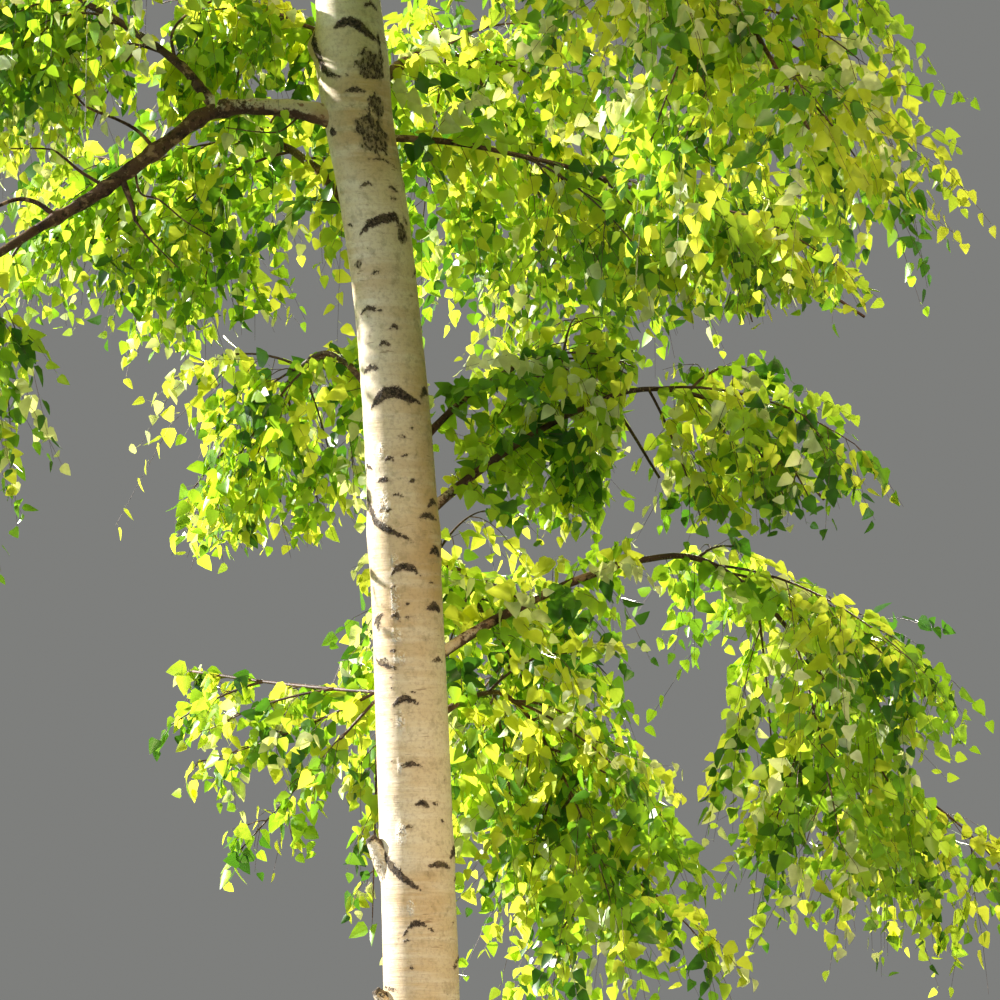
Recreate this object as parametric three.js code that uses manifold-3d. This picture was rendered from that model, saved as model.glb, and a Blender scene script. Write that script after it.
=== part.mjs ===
// A Japanese white birch: one leaning white trunk with a flared foot, the boughs that leave it,
// and the masses of leafy twigs that they carry. Millimetres, +Z up. The origin is the middle of
// the flat cut at ground level. The tree is looked at along +Y, with +X to the right.
import * as THREE from "three";
import { mergeVertices } from "three/addons/utils/BufferGeometryUtils.js";
import Module from "manifold-3d";

const wasm = await Module();
wasm.setup();

// Driving dimensions of the trunk. Each row is height, lean along X, lean along Y and radius.
const TRUNK_LINE = [
  [0, 0, 0, 134],
  [500, -4, 2, 127],
  [1300, -13, 8, 119],
  [2000, -23, 14, 113],
  [2600, -44, 18, 110],
  [3200, -69, 22, 107],
  [3700, -97, 27, 103],
  [4100, -133, 31, 98],
  [4400, -172, 34, 102],
  [4700, -224, 37, 104],
  [5000, -249, 39, 99],
  [5800, -322, 44, 90],
  [7200, -445, 46, 78],
  [9200, -590, 34, 58],
  [11200, -690, 6, 35],
  [12700, -742, -24, 13],
];
const TRUNK_RINGS = [
  0, 70, 180, 380, 700, 1300, 2000, 2600, 3200, 3390, 3700, 4100, 4400, 4620, 4830, 5000, 5400, 6200,
  7200, 8400, 9600, 10800, 11900, 12700,
];
const TRUNK_SIDES = 16;
// Swellings of the trunk below old and living boughs: height, how far out, half the length.
const SWELLINGS = [
  [4830, 8, 110],
  [3390, 6, 75],
  [2440, 3, 60],
];
// The foot flares into five roots, which fade upwards.
const ROOTS = 5;
const ROOT_SPREAD = 78;
const ROOT_FADE = 230;
// The height of a valley between roots as a share of a root's, and how unevenly the roots stand
const ROOT_VALLEY = 0.15;
const ROOT_WAVER = 0.9;

// Limbs, twigs and leaves
const GAP = 0.3;
const BOUGH_SIDES = 6;
const SHOWN_STEPS = 6;
const ARCHED_STEPS = 3;
const COLLAR = 1.5;
const COLLAR_FADE = 0.1;
const BOUGH_TAPER = 0.6;
const BOUGH_ARCH = 0.14;
const STEM_SIDES = 3;
const STEM_TIP_RADIUS = 13;
const STEM_STEPS = 4;
const TWIG_SIDES = 3;
const TWIG_RADIUS = 6;
const TWIG_STEPS = 2;
const TWIG_DROOP = 0.4;
const TWIG_SHORTENING = 0.45;
const TWIG_LENGTHS = [1, 0.75, 0.5];
// Where twigs stand on a stem, how far they open from it and how they tilt in turn. Each range is
// the least value and how much may come on top of it.
const TWIGS_FROM = 0.1;
const TWIGS_SPAN = 0.86;
const TWIG_OPENING = [42, 26];
const TWIG_TILTS = [-52, -2, 48];
const TWIG_TILT_RANGE = 24;
const TWIG_LENGTH_RANGE = [0.85, 0.4];
const CENTRE_DROP = 0.15;
const LEAF_PLACES = [0.45, 0.9];
const LEAF_SWING = [25, 45];
const LEAF_FALL = [0.3, 0.8];
const LEAF_TWIST = [-50, 100];
const LEAF_LENGTH_RANGE = [0.85, 0.3];
const LEAF_DEPTH = 2;
// The last leaf stands this share of a step before the stem's end.
const END_LEAF_BACK = 0.03;
const LEAF_TRIES = 8;
const SMALL_LEAF = 0.72;
const LEAF_WIDEST = 0.35;
const LEAF_WIDTH = 0.76;
const LEAF_THICKNESS = 0.035;
const CLEARANCE = 8;
// Places along a line that are tested for clearance
const PROBES = [0, 0.2, 0.4, 0.6, 0.8, 1];
// How far the grown trunk reaches below the cut, so that it cuts cleanly
const CUT_BELOW = 5;
const MERGE_WITHIN = 1e-3;
// The multiplier and modulus of the generator of even numbers
const ROLL_FACTOR = 48271;
const ROLL_MODULUS = 2147483647;

// Boughs that show close to: each is a limb through a few points, with its two radii.
const SHOWN_BOUGHS = [
  {
    name: "left_bough",
    from: "trunk",
    radii: [29, 15],
    through: [
      [-218, 30, 4640],
      [-400, -8, 4684],
      [-640, -50, 4676],
      [-800, -90, 4562],
      [-1000, -145, 4402],
      [-1170, -200, 4290],
    ],
  },
  {
    name: "left_fork",
    from: "left_bough",
    radii: [18, 13],
    through: [
      [-640, -50, 4676],
      [-700, -38, 4752],
      [-745, -28, 4808],
      [-815, -18, 4866],
    ],
  },
];

// Boughs that rise from the trunk on an even arch: height, direction round the trunk and rise in
// degrees, length and radius.
const ARCHED_BOUGHS = [
  { name: "back_left_bough", height: 4240, azimuth: 122, rise: 46, length: 560, radius: 24 },
  { name: "mid_left_bough", height: 3700, azimuth: 126, rise: 48, length: 400, radius: 15 },
  { name: "right_high_bough", height: 4600, azimuth: 12, rise: 6, length: 390, radius: 13 },
  { name: "right_mid_bough", height: 3600, azimuth: 30, rise: 50, length: 380, radius: 15 },
  { name: "right_low_bough", height: 2780, azimuth: 44, rise: 38, length: 300, radius: 14 },
  { name: "right_out_bough", height: 3400, azimuth: 16, rise: 43, length: 680, radius: 16 },
  { name: "back_bough", height: 4700, azimuth: 70, rise: 32, length: 700, radius: 24 },
  { name: "back_low_bough", height: 3080, azimuth: 84, rise: 36, length: 600, radius: 16 },
  { name: "back_right_bough", height: 2980, azimuth: 24, rise: 34, length: 860, radius: 18 },
  { name: "front_right_bough", height: 5120, azimuth: 322, rise: 12, length: 860, radius: 26 },
  { name: "front_left_bough", height: 5260, azimuth: 238, rise: 26, length: 820, radius: 26 },
];

// The crown above: boughs a golden angle apart, shorter and steeper towards the top.
const CROWN_BOUGHS = 13;
const CROWN_FOOT = 5750;
const CROWN_HEAD = 11900;
const CROWN_RADIUS = 1850;
const CROWN_SHOULDER = 7000;
const CROWN_TOP = 13900;
const GOLDEN_ANGLE = 137.5;
const CROWN_FIRST_AZIMUTH = 285;
const CROWN_RISE = [32, 24];
const CROWN_BOUGH_THICKNESS = [4, 0.24];
// Shares of the crown's radius, and what is added to two of them
const CROWN_BOUGH = 0.26;
const CROWN_REACH = 0.84;
const CROWN_SAG = 0.34;
const CROWN_SPREAD = [300, 0.62];
const CROWN_BLADE = [360, 0.25];
const CROWN_SWING = 120;
// A bough is as long as the crown is wide this far above its foot.
const CROWN_AHEAD = 500;
// Where an arched bough's points lie along it
const ARCH_PLACES = [0, 0.33, 0.67, 1];

// Masses of leaves: name and bough, then reach and sag of the stem, how far it swings aside, how far
// its twigs spread, and the length of a leaf blade, which stands for a spray.
const SHOWN_MASSES = [
  ["left_tip_leaves", "left_bough", 850, 260, -160, 520, 400],
  ["left_fork_leaves", "left_fork", 900, 330, 120, 560, 400],
  ["back_left_leaves", "back_left_bough", 900, 520, -340, 600, 400],
  ["mid_left_leaves", "mid_left_bough", 620, 760, -100, 460, 360],
  ["right_high_leaves", "right_high_bough", 1180, 340, 60, 660, 400],
  ["right_mid_leaves", "right_mid_bough", 920, 800, -60, 560, 380],
  ["right_low_leaves", "right_low_bough", 620, 900, 20, 520, 360],
  ["right_out_leaves", "right_out_bough", 1050, 760, -160, 640, 400],
  ["back_leaves", "back_bough", 1050, 900, 120, 680, 430],
  ["back_low_leaves", "back_low_bough", 900, 960, 360, 600, 420],
  ["back_right_leaves", "back_right_bough", 1050, 1200, -80, 700, 420],
  ["front_right_leaves", "front_right_bough", 980, 740, 160, 620, 430],
  ["front_left_leaves", "front_left_bough", 1050, 640, -120, 620, 430],
];
// Masses whose stem leaves the trunk itself: name, height, azimuth, rise and radius of the stem, then
// the same five lengths.
const TRUNK_MASSES = [
  ["high_left_leaves", 4880, 138, 32, 14, 640, 200, -120, 480, 340],
  ["low_left_leaves", 2920, 132, 4, 12, 980, -45, -50, 380, 280],
  ["leader_side_leaves", 12150, 160, 55, 13, 900, 220, 0, 420, 400],
];
// Twigs that show one by one: place on the stem, azimuth and rise, length, and droop as a share of it.
const SHOWN_TWIGS = {
  low_left_leaves: [
    [0.16, 140, -20, 780, -0.1],
    [0.13, 139, -38, 770, 0],
    [0.35, 158, -4, 420, 0.2],
    [0.5, 108, 4, 380, 0.2],
    [0.68, 160, -12, 320, 0.2],
    [0.85, 118, 0, 280, 0.2],
    [0.15, 98, -78, 690, 0],
  ],
};
// The mass on the trunk's tip: its stem points as the trunk's last part does, and is a little thinner.
const LEADER_RUN = 300;
const LEADER_THICKNESS = 0.9;
const LEADER_MASS = { name: "leader_leaves", reach: 820, sag: 90, swing: 60, spread: 420, blade: 400 };
const TWIGS_EACH = 6;
const FIRST_SEED = 1871;
const SEED_STEP = 613;
const LEAF_SEED = 90001;

// Stumps of lost boughs on the trunk and below the left bough: the limb's ends and its radii.
const STUMPS = [
  { name: "upper_stump", from: "trunk", radii: [62, 14], ends: [[-60, 10, 2330], [-178, -24, 2488]] },
  { name: "lower_stump", from: "trunk", radii: [56, 14], ends: [[-45, 5, 1896], [-160, -30, 2036]] },
  { name: "dead_spur", from: "left_bough", radii: [11, 5], ends: [[-925, -125, 4462], [-880, -150, 4322]] },
];
// How thick a stump is half-way, as a share of its base
const STUMP_WAIST = 0.74;

const BARK_WHITE = new THREE.MeshStandardMaterial({ color: "#e4dccb", roughness: 0.72, metalness: 0 });
const BARK_BROWN = new THREE.MeshStandardMaterial({ color: "#8a6a52", roughness: 0.82, metalness: 0 });
const FOLIAGE = new THREE.MeshStandardMaterial({ color: "#6f9a2c", roughness: 0.5, metalness: 0 });

const UP = new THREE.Vector3(0, 0, 1);
const point = (list) => new THREE.Vector3(...list);
const radians = (degrees) => (degrees * Math.PI) / 180;
const within = ([least, range], share) => least + range * share;
const headingOf = (azimuth, rise) =>
  new THREE.Vector3(1, 0, 0).applyEuler(new THREE.Euler(0, -radians(rise), radians(azimuth), "ZYX"));

// A smooth value along a table of rows that start with a height.
function along(table, height, column) {
  const last = table.length - 1;
  const z = Math.min(Math.max(height, table[0][0]), table[last][0]);
  let i = 0;
  while (i < last - 1 && z > table[i + 1][0]) i += 1;
  const slope = (k) => {
    const before = table[Math.max(k - 1, 0)];
    const after = table[Math.min(k + 1, last)];
    return (after[column] - before[column]) / (after[0] - before[0]);
  };
  const span = table[i + 1][0] - table[i][0];
  const t = (z - table[i][0]) / span;
  const start = table[i][column] * (2 * t * t * t - 3 * t * t + 1);
  const end = table[i + 1][column] * (3 * t * t - 2 * t * t * t);
  const leaving = slope(i) * span * (t * t * t - 2 * t * t + t);
  const arriving = slope(i + 1) * span * (t * t * t - t * t);
  return start + end + leaving + arriving;
}

const trunkAxis = (height) =>
  new THREE.Vector3(along(TRUNK_LINE, height, 1), along(TRUNK_LINE, height, 2), height);

function trunkRadius(height) {
  const bumps = SWELLINGS.map(([at, out, half]) => out * Math.exp(-(((height - at) / half) ** 2)));
  return along(TRUNK_LINE, height, 3) + bumps.reduce((sum, bump) => sum + bump, 0);
}

function rootFlare(height, angle) {
  const lobe = 0.5 + 0.5 * Math.cos(ROOTS * angle + ROOT_WAVER * Math.sin(2 * angle + 1));
  return ROOT_SPREAD * Math.exp(-height / ROOT_FADE) * (ROOT_VALLEY + (1 - ROOT_VALLEY) * lobe);
}

// The generator of the seeded rule: even numbers from 0 to 1, the same for the same seed.
function seeded(seed) {
  let state = seed;
  return () => {
    state = (state * ROLL_FACTOR) % ROLL_MODULUS;
    return state / ROLL_MODULUS;
  };
}

function solidOf(geometry) {
  const bare = new THREE.BufferGeometry();
  bare.setAttribute("position", geometry.getAttribute("position"));
  bare.setIndex(geometry.index);
  const merged = mergeVertices(bare, MERGE_WITHIN);
  return new wasm.Manifold(
    new wasm.Mesh({
      numProp: 3,
      vertProperties: new Float32Array(merged.getAttribute("position").array),
      triVerts: new Uint32Array(merged.index.array),
    }),
  );
}

// The largest body of a solid, with the hollows and scraps that fusing leaves dropped.
function mainBody(solid) {
  const bodies = solid.decompose();
  return bodies.reduce((best, body) => (body.volume() > best.volume() ? body : best));
}

function meshOf(solid, name, material) {
  const { vertProperties, triVerts } = solid.getMesh();
  const geometry = new THREE.BufferGeometry();
  geometry.setAttribute("position", new THREE.BufferAttribute(new Float32Array(vertProperties), 3));
  geometry.setIndex(new THREE.BufferAttribute(new Uint32Array(triVerts), 1));
  geometry.computeVertexNormals();
  const mesh = new THREE.Mesh(geometry, material);
  mesh.name = name;
  return mesh;
}

// The trunk, with each ring level, and grown a little where it cuts what stands against it.
function trunkSolid(growth) {
  const rows = TRUNK_RINGS.length - 1;
  const shape = new THREE.CylinderGeometry(1, 1, 1, TRUNK_SIDES, rows);
  const place = shape.getAttribute("position");
  for (let i = 0; i < place.count; i += 1) {
    const row = Math.round((place.getY(i) + 0.5) * rows);
    const height = TRUNK_RINGS[row];
    const [across, back] = [place.getX(i), -place.getZ(i)];
    const angle = Math.atan2(back, across);
    const middle = Math.hypot(across, back) < 0.5;
    const radius = middle ? 0 : trunkRadius(height) + rootFlare(height, angle) + growth;
    const axis = trunkAxis(height);
    const drop = growth > 0 && row === 0 ? CUT_BELOW : 0;
    place.setXYZ(i, axis.x + radius * across, axis.y + radius * back, height - drop);
  }
  return solidOf(shape);
}

function directionAt(points, i) {
  const before = points[Math.max(i - 1, 0)];
  const after = points[Math.min(i + 1, points.length - 1)];
  return after.clone().sub(before).normalize();
}

// A tapering limb with one ring of corners round each of its points. Its first face can be turned
// square to another direction, to lie flat against what it grows on from.
function limbSolid(points, radii, sides, facing = directionAt(points, 0)) {
  const rows = points.length - 1;
  const shape = new THREE.CylinderGeometry(1, 1, 1, sides, rows);
  const place = shape.getAttribute("position");
  const aside = Math.abs(facing.z) < 0.9 ? UP.clone() : new THREE.Vector3(1, 0, 0);
  const frames = points.map((_, i) => {
    const ahead = i ? directionAt(points, i) : facing;
    aside.addScaledVector(ahead, -aside.dot(ahead)).normalize();
    return [aside.clone(), new THREE.Vector3().crossVectors(aside, ahead)];
  });
  for (let i = 0; i < place.count; i += 1) {
    const row = Math.round((place.getY(i) + 0.5) * rows);
    const [normal, other] = frames[row];
    const spot = points[row]
      .clone()
      .addScaledVector(normal, place.getX(i) * radii[row])
      .addScaledVector(other, place.getZ(i) * radii[row]);
    place.setXYZ(i, spot.x, spot.y, spot.z);
  }
  return solidOf(shape);
}

// Each limb is kept as its line of points and radii, for cutting and for keeping clear of.
const limbs = new Map();

function addBough(name, from, curve, [base, tip], steps) {
  const points = curve.getPoints(steps);
  const radii = points.map((_, i) => {
    const s = i / steps;
    const collar = 1 + (COLLAR - 1) * Math.exp(-s / COLLAR_FADE);
    return (base + (tip - base) * s) * collar;
  });
  limbs.set(name, { name, from, points, radii });
}

// A bough that rises from the trunk's axis and bends outwards on its way.
function archedCurve({ height, azimuth, rise, length }) {
  const start = trunkAxis(height);
  const out = new THREE.Vector3(Math.cos(radians(azimuth)), Math.sin(radians(azimuth)), 0);
  const points = ARCH_PLACES.map((s) =>
    start
      .clone()
      .addScaledVector(out, length * s * Math.cos(radians(rise)))
      .addScaledVector(UP, length * (s * Math.sin(radians(rise)) - BOUGH_ARCH * s * s)),
  );
  return new THREE.CatmullRomCurve3(points, false, "catmullrom", 0.5);
}

const crownRadius = (height) => {
  const share = Math.max(height - CROWN_SHOULDER, 0) / (CROWN_TOP - CROWN_SHOULDER);
  return CROWN_RADIUS * (1 - share ** 2);
};

for (const { name, from, radii, through } of SHOWN_BOUGHS) {
  const curve = new THREE.CatmullRomCurve3(through.map(point), false, "catmullrom", 0.5);
  addBough(name, from, curve, radii, SHOWN_STEPS);
}
for (const bough of ARCHED_BOUGHS) {
  const radii = [bough.radius, bough.radius * BOUGH_TAPER];
  addBough(bough.name, "trunk", archedCurve(bough), radii, ARCHED_STEPS);
}

const masses = SHOWN_MASSES.map(([name, bough, reach, sag, swing, spread, blade]) => ({
  name,
  bough,
  reach,
  sag,
  swing,
  spread,
  blade,
}));
for (let k = 0; k < CROWN_BOUGHS; k += 1) {
  const share = k / (CROWN_BOUGHS - 1);
  const height = CROWN_FOOT + (CROWN_HEAD - CROWN_FOOT) * share;
  const radius = crownRadius(height + CROWN_AHEAD);
  const number = String(k + 1).padStart(2, "0");
  const bough = {
    height,
    azimuth: CROWN_FIRST_AZIMUTH + GOLDEN_ANGLE * k,
    rise: within(CROWN_RISE, share),
    length: CROWN_BOUGH * radius,
  };
  const base = within(CROWN_BOUGH_THICKNESS, trunkRadius(height));
  const radii = [base, base * BOUGH_TAPER];
  addBough(`crown_bough_${number}`, "trunk", archedCurve(bough), radii, ARCHED_STEPS);
  masses.push({
    name: `crown_leaves_${number}`,
    bough: `crown_bough_${number}`,
    reach: CROWN_REACH * radius,
    sag: CROWN_SAG * radius,
    swing: k % 2 ? CROWN_SWING : -CROWN_SWING,
    spread: within(CROWN_SPREAD, radius),
    blade: within(CROWN_BLADE, radius),
  });
}

// A stem runs on from its bough's tip, swings aside and sags.
function stemPoints(start, ahead, { reach, sag, swing }) {
  const aside = new THREE.Vector3().crossVectors(ahead, UP).normalize();
  return Array.from({ length: STEM_STEPS + 1 }, (_, i) => {
    const s = i / STEM_STEPS;
    return start
      .clone()
      .addScaledVector(ahead, reach * s)
      .addScaledVector(aside, swing * s * s)
      .addScaledVector(UP, -sag * s * s);
  });
}

const stemRadii = (base) =>
  Array.from({ length: STEM_STEPS + 1 }, (_, i) => base + ((STEM_TIP_RADIUS - base) * i) / STEM_STEPS);

for (const mass of masses) {
  const { points, radii } = limbs.get(mass.bough);
  const ahead = directionAt(points, points.length - 1);
  const start = points.at(-1).clone().addScaledVector(ahead, GAP);
  mass.stem = stemPoints(start, ahead, mass);
  mass.facing = ahead;
  mass.radii = stemRadii(radii.at(-1));
}
for (const [name, height, azimuth, rise, radius, reach, sag, swing, spread, blade] of TRUNK_MASSES) {
  const ahead = headingOf(azimuth, rise);
  const stem = stemPoints(trunkAxis(height), ahead, { reach, sag, swing });
  const radii = stemRadii(radius);
  masses.push({ name, bough: "trunk", facing: ahead, stem, radii, spread, blade });
}
{
  const top = TRUNK_LINE.at(-1)[0];
  const ahead = trunkAxis(top).sub(trunkAxis(top - LEADER_RUN)).normalize();
  const start = trunkAxis(top).addScaledVector(UP, GAP);
  LEADER_MASS.facing = UP;
  LEADER_MASS.stem = stemPoints(start, ahead, LEADER_MASS);
  LEADER_MASS.radii = stemRadii(trunkRadius(top) * LEADER_THICKNESS);
  masses.push(LEADER_MASS);
}
masses.forEach((mass, k) => {
  mass.seed = FIRST_SEED + SEED_STEP * k;
  mass.centre = mass.stem[2].clone().addScaledVector(UP, -CENTRE_DROP * mass.spread);
});

// A mass's own space is what lies nearer to its centre than to any other, less a margin at the
// planes between them.
function inOwnSpace(mass, spot, margin) {
  return masses.every((other) => {
    if (other === mass) return true;
    const apart = 2 * mass.centre.distanceTo(other.centre);
    const own = mass.centre.distanceToSquared(spot);
    return (other.centre.distanceToSquared(spot) - own) / apart > margin;
  });
}

const trunkLine = {
  name: "trunk",
  points: TRUNK_RINGS.map(trunkAxis),
  radii: TRUNK_RINGS.map((height) => trunkRadius(height) + rootFlare(height, 0)),
};

// The distance from a spot to the surface of a limb.
function distanceToLimb(limb, spot) {
  let nearest = Infinity;
  const closest = new THREE.Vector3();
  const piece = new THREE.Line3();
  for (let i = 0; i + 1 < limb.points.length; i += 1) {
    piece.set(limb.points[i], limb.points[i + 1]);
    const s = piece.closestPointToPointParameter(spot, true);
    piece.at(s, closest);
    const radius = limb.radii[i] + (limb.radii[i + 1] - limb.radii[i]) * s;
    nearest = Math.min(nearest, closest.distanceTo(spot) - radius);
  }
  return nearest;
}

const obstacles = [trunkLine, ...limbs.values()];

function clearOfLimbs(mass, from, to, halfWidth) {
  const others = masses.filter((other) => other !== mass);
  const stems = others.map(({ stem, radii }) => ({ points: stem, radii }));
  return [...obstacles, ...stems].every((limb) =>
    PROBES.every((s) => {
      const spot = from.clone().lerp(to, s);
      return distanceToLimb(limb, spot) > halfWidth + CLEARANCE;
    }),
  );
}

// The spot and the direction at a share of the way along a line of evenly counted points.
function onLine(line, share) {
  const i = Math.min(Math.floor(share * (line.length - 1)), line.length - 2);
  const spot = line[i].clone().lerp(line[i + 1], share * (line.length - 1) - i);
  return { spot, ahead: line[i + 1].clone().sub(line[i]).normalize() };
}

// A twig from its base, drooping more the further it goes.
function twigLine(base, heading, length, droop) {
  return Array.from({ length: TWIG_STEPS + 1 }, (_, i) => {
    const u = i / TWIG_STEPS;
    return base
      .clone()
      .addScaledVector(heading, length * u)
      .addScaledVector(UP, -droop * length * u * u);
  });
}

function fits(mass, line) {
  const keeps = line.every((spot) => inOwnSpace(mass, spot, CLEARANCE + TWIG_RADIUS));
  return keeps && line.slice(1).every((spot, i) => clearOfLimbs(mass, line[i], spot, TWIG_RADIUS));
}

function fittingLine(mass, base, heading, length, droop) {
  const lines = TWIG_LENGTHS.map((share) => twigLine(base, heading, length * share, droop));
  return lines.find((line) => fits(mass, line));
}

// The twigs of a mass leave its stem on alternate sides. One that would leave the space or touch a
// limb is shortened, and left out where its shortest length doesn't fit either.
function twigsOf(mass) {
  const roll = seeded(mass.seed);
  const twigs = Array.from({ length: TWIGS_EACH }, (_, k) => {
    const s = TWIGS_FROM + (TWIGS_SPAN * (k + 0.5)) / TWIGS_EACH;
    const { spot: base, ahead } = onLine(mass.stem, s);
    const side = new THREE.Vector3().crossVectors(ahead, UP).normalize();
    const top = new THREE.Vector3().crossVectors(side, ahead);
    const open = radians(within(TWIG_OPENING, roll()));
    const tilt = radians(TWIG_TILTS[k % TWIG_TILTS.length] + TWIG_TILT_RANGE * roll());
    const hand = k % 2 ? 1 : -1;
    const length = mass.spread * (1 - TWIG_SHORTENING * s) * within(TWIG_LENGTH_RANGE, roll());
    const heading = ahead
      .clone()
      .multiplyScalar(Math.cos(open))
      .addScaledVector(side, hand * Math.sin(open) * Math.cos(tilt))
      .addScaledVector(top, Math.sin(open) * Math.sin(tilt));
    return { hand, line: fittingLine(mass, base, heading, length, TWIG_DROOP) };
  });
  return twigs.filter(({ line }) => line);
}

function shownTwigsOf(mass) {
  const twigs = SHOWN_TWIGS[mass.name].map(([s, azimuth, rise, length, droop], k) => {
    const { spot } = onLine(mass.stem, s);
    return { hand: k % 2 ? 1 : -1, line: fittingLine(mass, spot, headingOf(azimuth, rise), length, droop) };
  });
  return twigs.filter(({ line }) => line);
}

// A leaf blade: a flat octahedron from its sunk root to its tip, widest nearer the root.
function leafSolid(root, ahead, side, length) {
  const shape = new THREE.OctahedronGeometry(1, 0);
  const place = shape.getAttribute("position");
  const normal = new THREE.Vector3().crossVectors(ahead, side);
  for (let i = 0; i < place.count; i += 1) {
    const [x, y, z] = [place.getX(i), place.getY(i), place.getZ(i)];
    const reach = Math.abs(x) < 0.5 ? LEAF_WIDEST * length : x > 0 ? length : -LEAF_DEPTH;
    const spot = root
      .clone()
      .addScaledVector(ahead, reach)
      .addScaledVector(side, (y * LEAF_WIDTH * length) / 2)
      .addScaledVector(normal, (z * LEAF_THICKNESS * length) / 2);
    place.setXYZ(i, spot.x, spot.y, spot.z);
  }
  return solidOf(shape);
}

function leafCorners(root, ahead, side, length) {
  const middle = root.clone().addScaledVector(ahead, LEAF_WIDEST * length);
  const half = (LEAF_WIDTH * length) / 2;
  return [
    root,
    root.clone().addScaledVector(ahead, length),
    middle.clone().addScaledVector(side, half),
    middle.clone().addScaledVector(side, -half),
  ];
}

function leafDraw(mass, along, hand, size, roll) {
  const swing = radians(within(LEAF_SWING, roll()));
  const fall = within(LEAF_FALL, roll());
  const twist = radians(within(LEAF_TWIST, roll()));
  const length = mass.blade * size * within(LEAF_LENGTH_RANGE, roll());
  const aside = new THREE.Vector3().crossVectors(along, UP).normalize();
  const ahead = along
    .clone()
    .multiplyScalar(Math.cos(swing))
    .addScaledVector(aside, hand * Math.sin(swing))
    .addScaledVector(UP, -fall)
    .normalize();
  const side = new THREE.Vector3().crossVectors(ahead, UP).normalize().applyAxisAngle(ahead, twist);
  return { ahead, side, length };
}

// A leaf is drawn again while it leaves the space, comes near a limb or runs into what is there,
// and smaller after half of the tries.
function growLeaf(mass, root, along, hand, roll, others) {
  for (let attempt = 0; attempt < LEAF_TRIES; attempt += 1) {
    const size = attempt < LEAF_TRIES / 2 ? 1 : SMALL_LEAF;
    const { ahead, side, length } = leafDraw(mass, along, attempt % 2 ? -hand : hand, size, roll);
    const corners = leafCorners(root, ahead, side, length);
    const keeps = corners.every((corner) => inOwnSpace(mass, corner, CLEARANCE));
    if (!keeps || !clearOfLimbs(mass, corners[0], corners[1], (LEAF_WIDTH * length) / 2)) continue;
    const leaf = leafSolid(root, ahead, side, length);
    if (others.intersect(leaf).isEmpty()) return leaf;
  }
  return null;
}

function massSolid(mass) {
  const roll = seeded(mass.seed + LEAF_SEED);
  const stem = limbSolid(mass.stem, mass.radii, STEM_SIDES, mass.facing);
  const twigs = mass.name in SHOWN_TWIGS ? shownTwigsOf(mass) : twigsOf(mass);
  const woods = twigs.map(({ line }) => {
    const radii = line.map(() => TWIG_RADIUS);
    return limbSolid(line, radii, TWIG_SIDES);
  });
  const leaves = [];
  const grow = (root, along, hand, wood) => {
    const others = wasm.Manifold.union([stem, ...woods, ...leaves].filter((piece) => piece !== wood));
    const leaf = growLeaf(mass, root, along, hand, roll, others);
    if (leaf) leaves.push(leaf);
  };
  twigs.forEach(({ line, hand }, k) => {
    LEAF_PLACES.forEach((u, n) => {
      const { spot, ahead } = onLine(line, u);
      grow(spot, ahead, n % 2 ? hand : -hand, woods[k]);
    });
  });
  const last = mass.stem.length - 1;
  const end = mass.stem[last].clone().lerp(mass.stem[last - 1], END_LEAF_BACK);
  grow(end, directionAt(mass.stem, last), 1, stem);
  const fused = wasm.Manifold.union([stem, ...woods, ...leaves]);
  return mainBody(mass.bough === "trunk" ? fused.subtract(grownTrunk) : fused);
}

const grownTrunk = trunkSolid(GAP);
const group = new THREE.Group();
group.add(meshOf(trunkSolid(0), "trunk", BARK_WHITE));

const grownLimb = (limb) =>
  limbSolid(limb.points, limb.radii.map((radius) => radius + GAP), BOUGH_SIDES);

for (const limb of limbs.values()) {
  const cutter = limb.from === "trunk" ? grownTrunk : grownLimb(limbs.get(limb.from));
  const solid = limbSolid(limb.points, limb.radii, BOUGH_SIDES).subtract(cutter);
  group.add(meshOf(mainBody(solid), limb.name, BARK_BROWN));
}
for (const { name, from, radii, ends } of STUMPS) {
  const cutter = from === "trunk" ? grownTrunk : grownLimb(limbs.get(from));
  const [start, end] = ends.map(point);
  const points = [start, start.clone().lerp(end, 0.5), end];
  const waist = radii[0] * STUMP_WAIST;
  const solid = limbSolid(points, [radii[0], waist, radii[1]], BOUGH_SIDES).subtract(cutter);
  group.add(meshOf(mainBody(solid), name, BARK_BROWN));
}
for (const mass of masses) {
  group.add(meshOf(massSolid(mass), mass.name, FOLIAGE));
}

export default group;
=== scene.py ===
"""A white birch: a leaning trunk in papery bark, its boughs, and the sprays of leaves that hang from them.

Metres, +Z up. The origin is the middle of the flat cut at ground level, and the camera looks along +Y.
The limbs and twigs grow by the same rule as the solids that they stand for, and go on to finer twigs
and leaves.
"""

import math

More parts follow.
